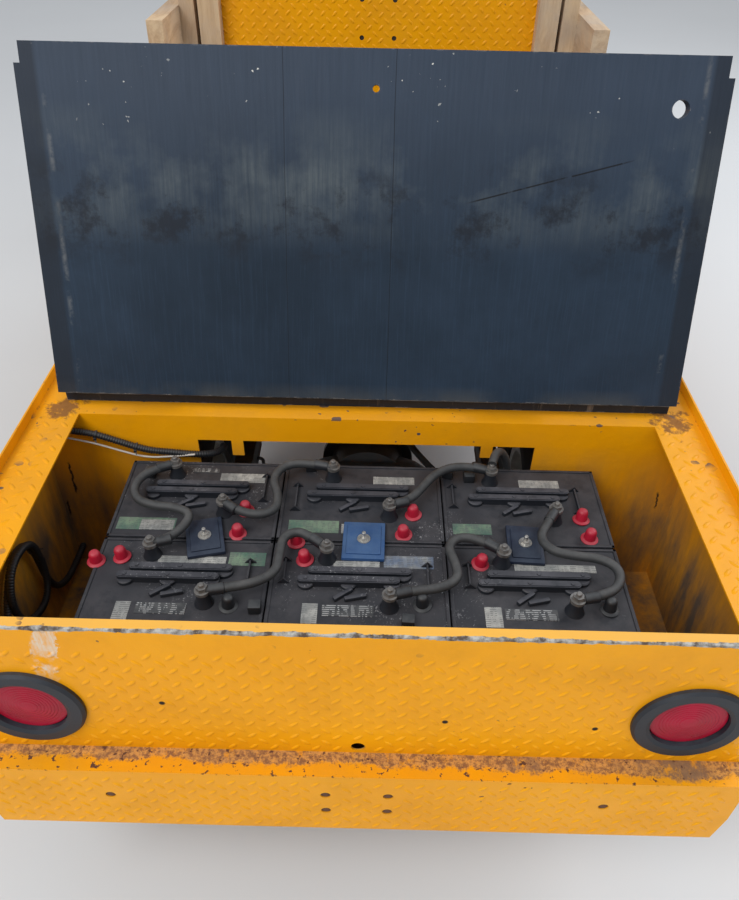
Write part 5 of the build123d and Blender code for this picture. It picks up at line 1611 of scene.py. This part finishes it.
piece("steering_ring", steer_ring, wheel_plastic, "steering_wheel", replaces="steering_wheel")
piece("horn_button", horn, cap_black, "steering_wheel")
print("wheel radius", round(wheel_radius))

# %% [markdown]
# The dash carries a charge gauge, a key switch, a light switch and the direction rocker. Their faces are plain,
# apart from the gauge's scale. The pedals have ribbed rubber pads.

# %% Dash and pedals
dash_y = box("dash_panel")[0].y
dials, gauge_face, switches, pedal_rubber = Shape(), Shape(), Shape(), Shape()
gauge_x, needle_z, dial_z = 40, 793, 800


def on_dash(shape, x, z, profile, sides):
    shape.turned(profile, (x, dash_y, z), -Y, sides)


def dash_strip(shape, turn, outline, low, high):
    """A flat strip on the gauge's face; the outline is (across, along) from the needle's pin, before a turn."""
    c, s = cos(radians(turn)), sin(radians(turn))
    shape.slab([(gauge_x + a * c + b * s, needle_z - a * s + b * c) for a, b in outline], dash_y - low,
               dash_y - high, "xz")


on_dash(dials, gauge_x, dial_z, [(0, 0), (0, 30), (6, 30), (8, 28), (8, 25), (4, 24.5), (4, 0)], 40)
on_dash(gauge_face, gauge_x, dial_z, [(3.9, 0), (3.9, 24.4), (4.6, 24.4), (4.6, 0)], 40)
for tick in range(-4, 5):
    end = 21 + (6 if tick % 2 == 0 else 3.5)
    dash_strip(switches, tick * 14, [(-0.5, 21), (0.5, 21), (0.5, end), (-0.5, end)], 4.5, 5.0)
dash_strip(dials, -32, [(-1.2, -4), (1.2, -4), (0.4, 20), (-0.4, 20)], 5.2, 5.8)
on_dash(switches, 110, dial_z, [(0, 0), (0, 13), (3, 13), (4, 11), (4, 9), (9, 8.5), (9, 0)], 28)
switches.block((108.6, dash_y - 24, 791), (111.4, dash_y - 8, 809), 1)
for x in (160, 200):
    on_dash(switches, x, dial_z, [(0, 0), (0, 9), (2.5, 9), (2.5, 6.5), (7, 6), (7, 0)], 6)
    on_dash(switches, x, dial_z + 3, [(6, 0), (6, 2.6), (20, 3.6), (22, 2.4), (22, 0)], 16)
dials.block((232, dash_y - 7, 784), (262, dash_y + 0.2, 816), 1.5)
dials.block((236, dash_y - 12, 789), (258, dash_y - 5, 811), 2.5)
piece("dash_dials", dials, cap_black)
piece("dash_switches", switches, zinc)
piece("gauge_face", gauge_face, wire_white)
slope, outward = Vector((0, 40, 88)).normalized(), Vector((0, -88, 40)).normalized()
pad_strips = [(1, 95, 0, 5, 1)] + [(6 + rib * 15, 14 + rib * 15, 4.5, 8.5, 2) for rib in range(6)]
for x, width in ((-70, 70), (30, 56)):
    foot = Vector((x, 1186, 442))
    for start, end, low, high, inset in pad_strips:    # along the pad, above its face, and in from its sides
        spots = [foot + slope * along + outward * lift
                 for along, lift in ((start, low), (end, low), (end, high), (start, high))]
        pedal_rubber.slab([(spot.y, spot.z) for spot in spots], x - width / 2 + inset, x + width / 2 - inset, "yz")
piece("pedal_pads", pedal_rubber, black_rubber, smooth=0)
print("dash and pedal faces", sum(len(shape.faces) for shape in (dials, gauge_face, switches, pedal_rubber)))
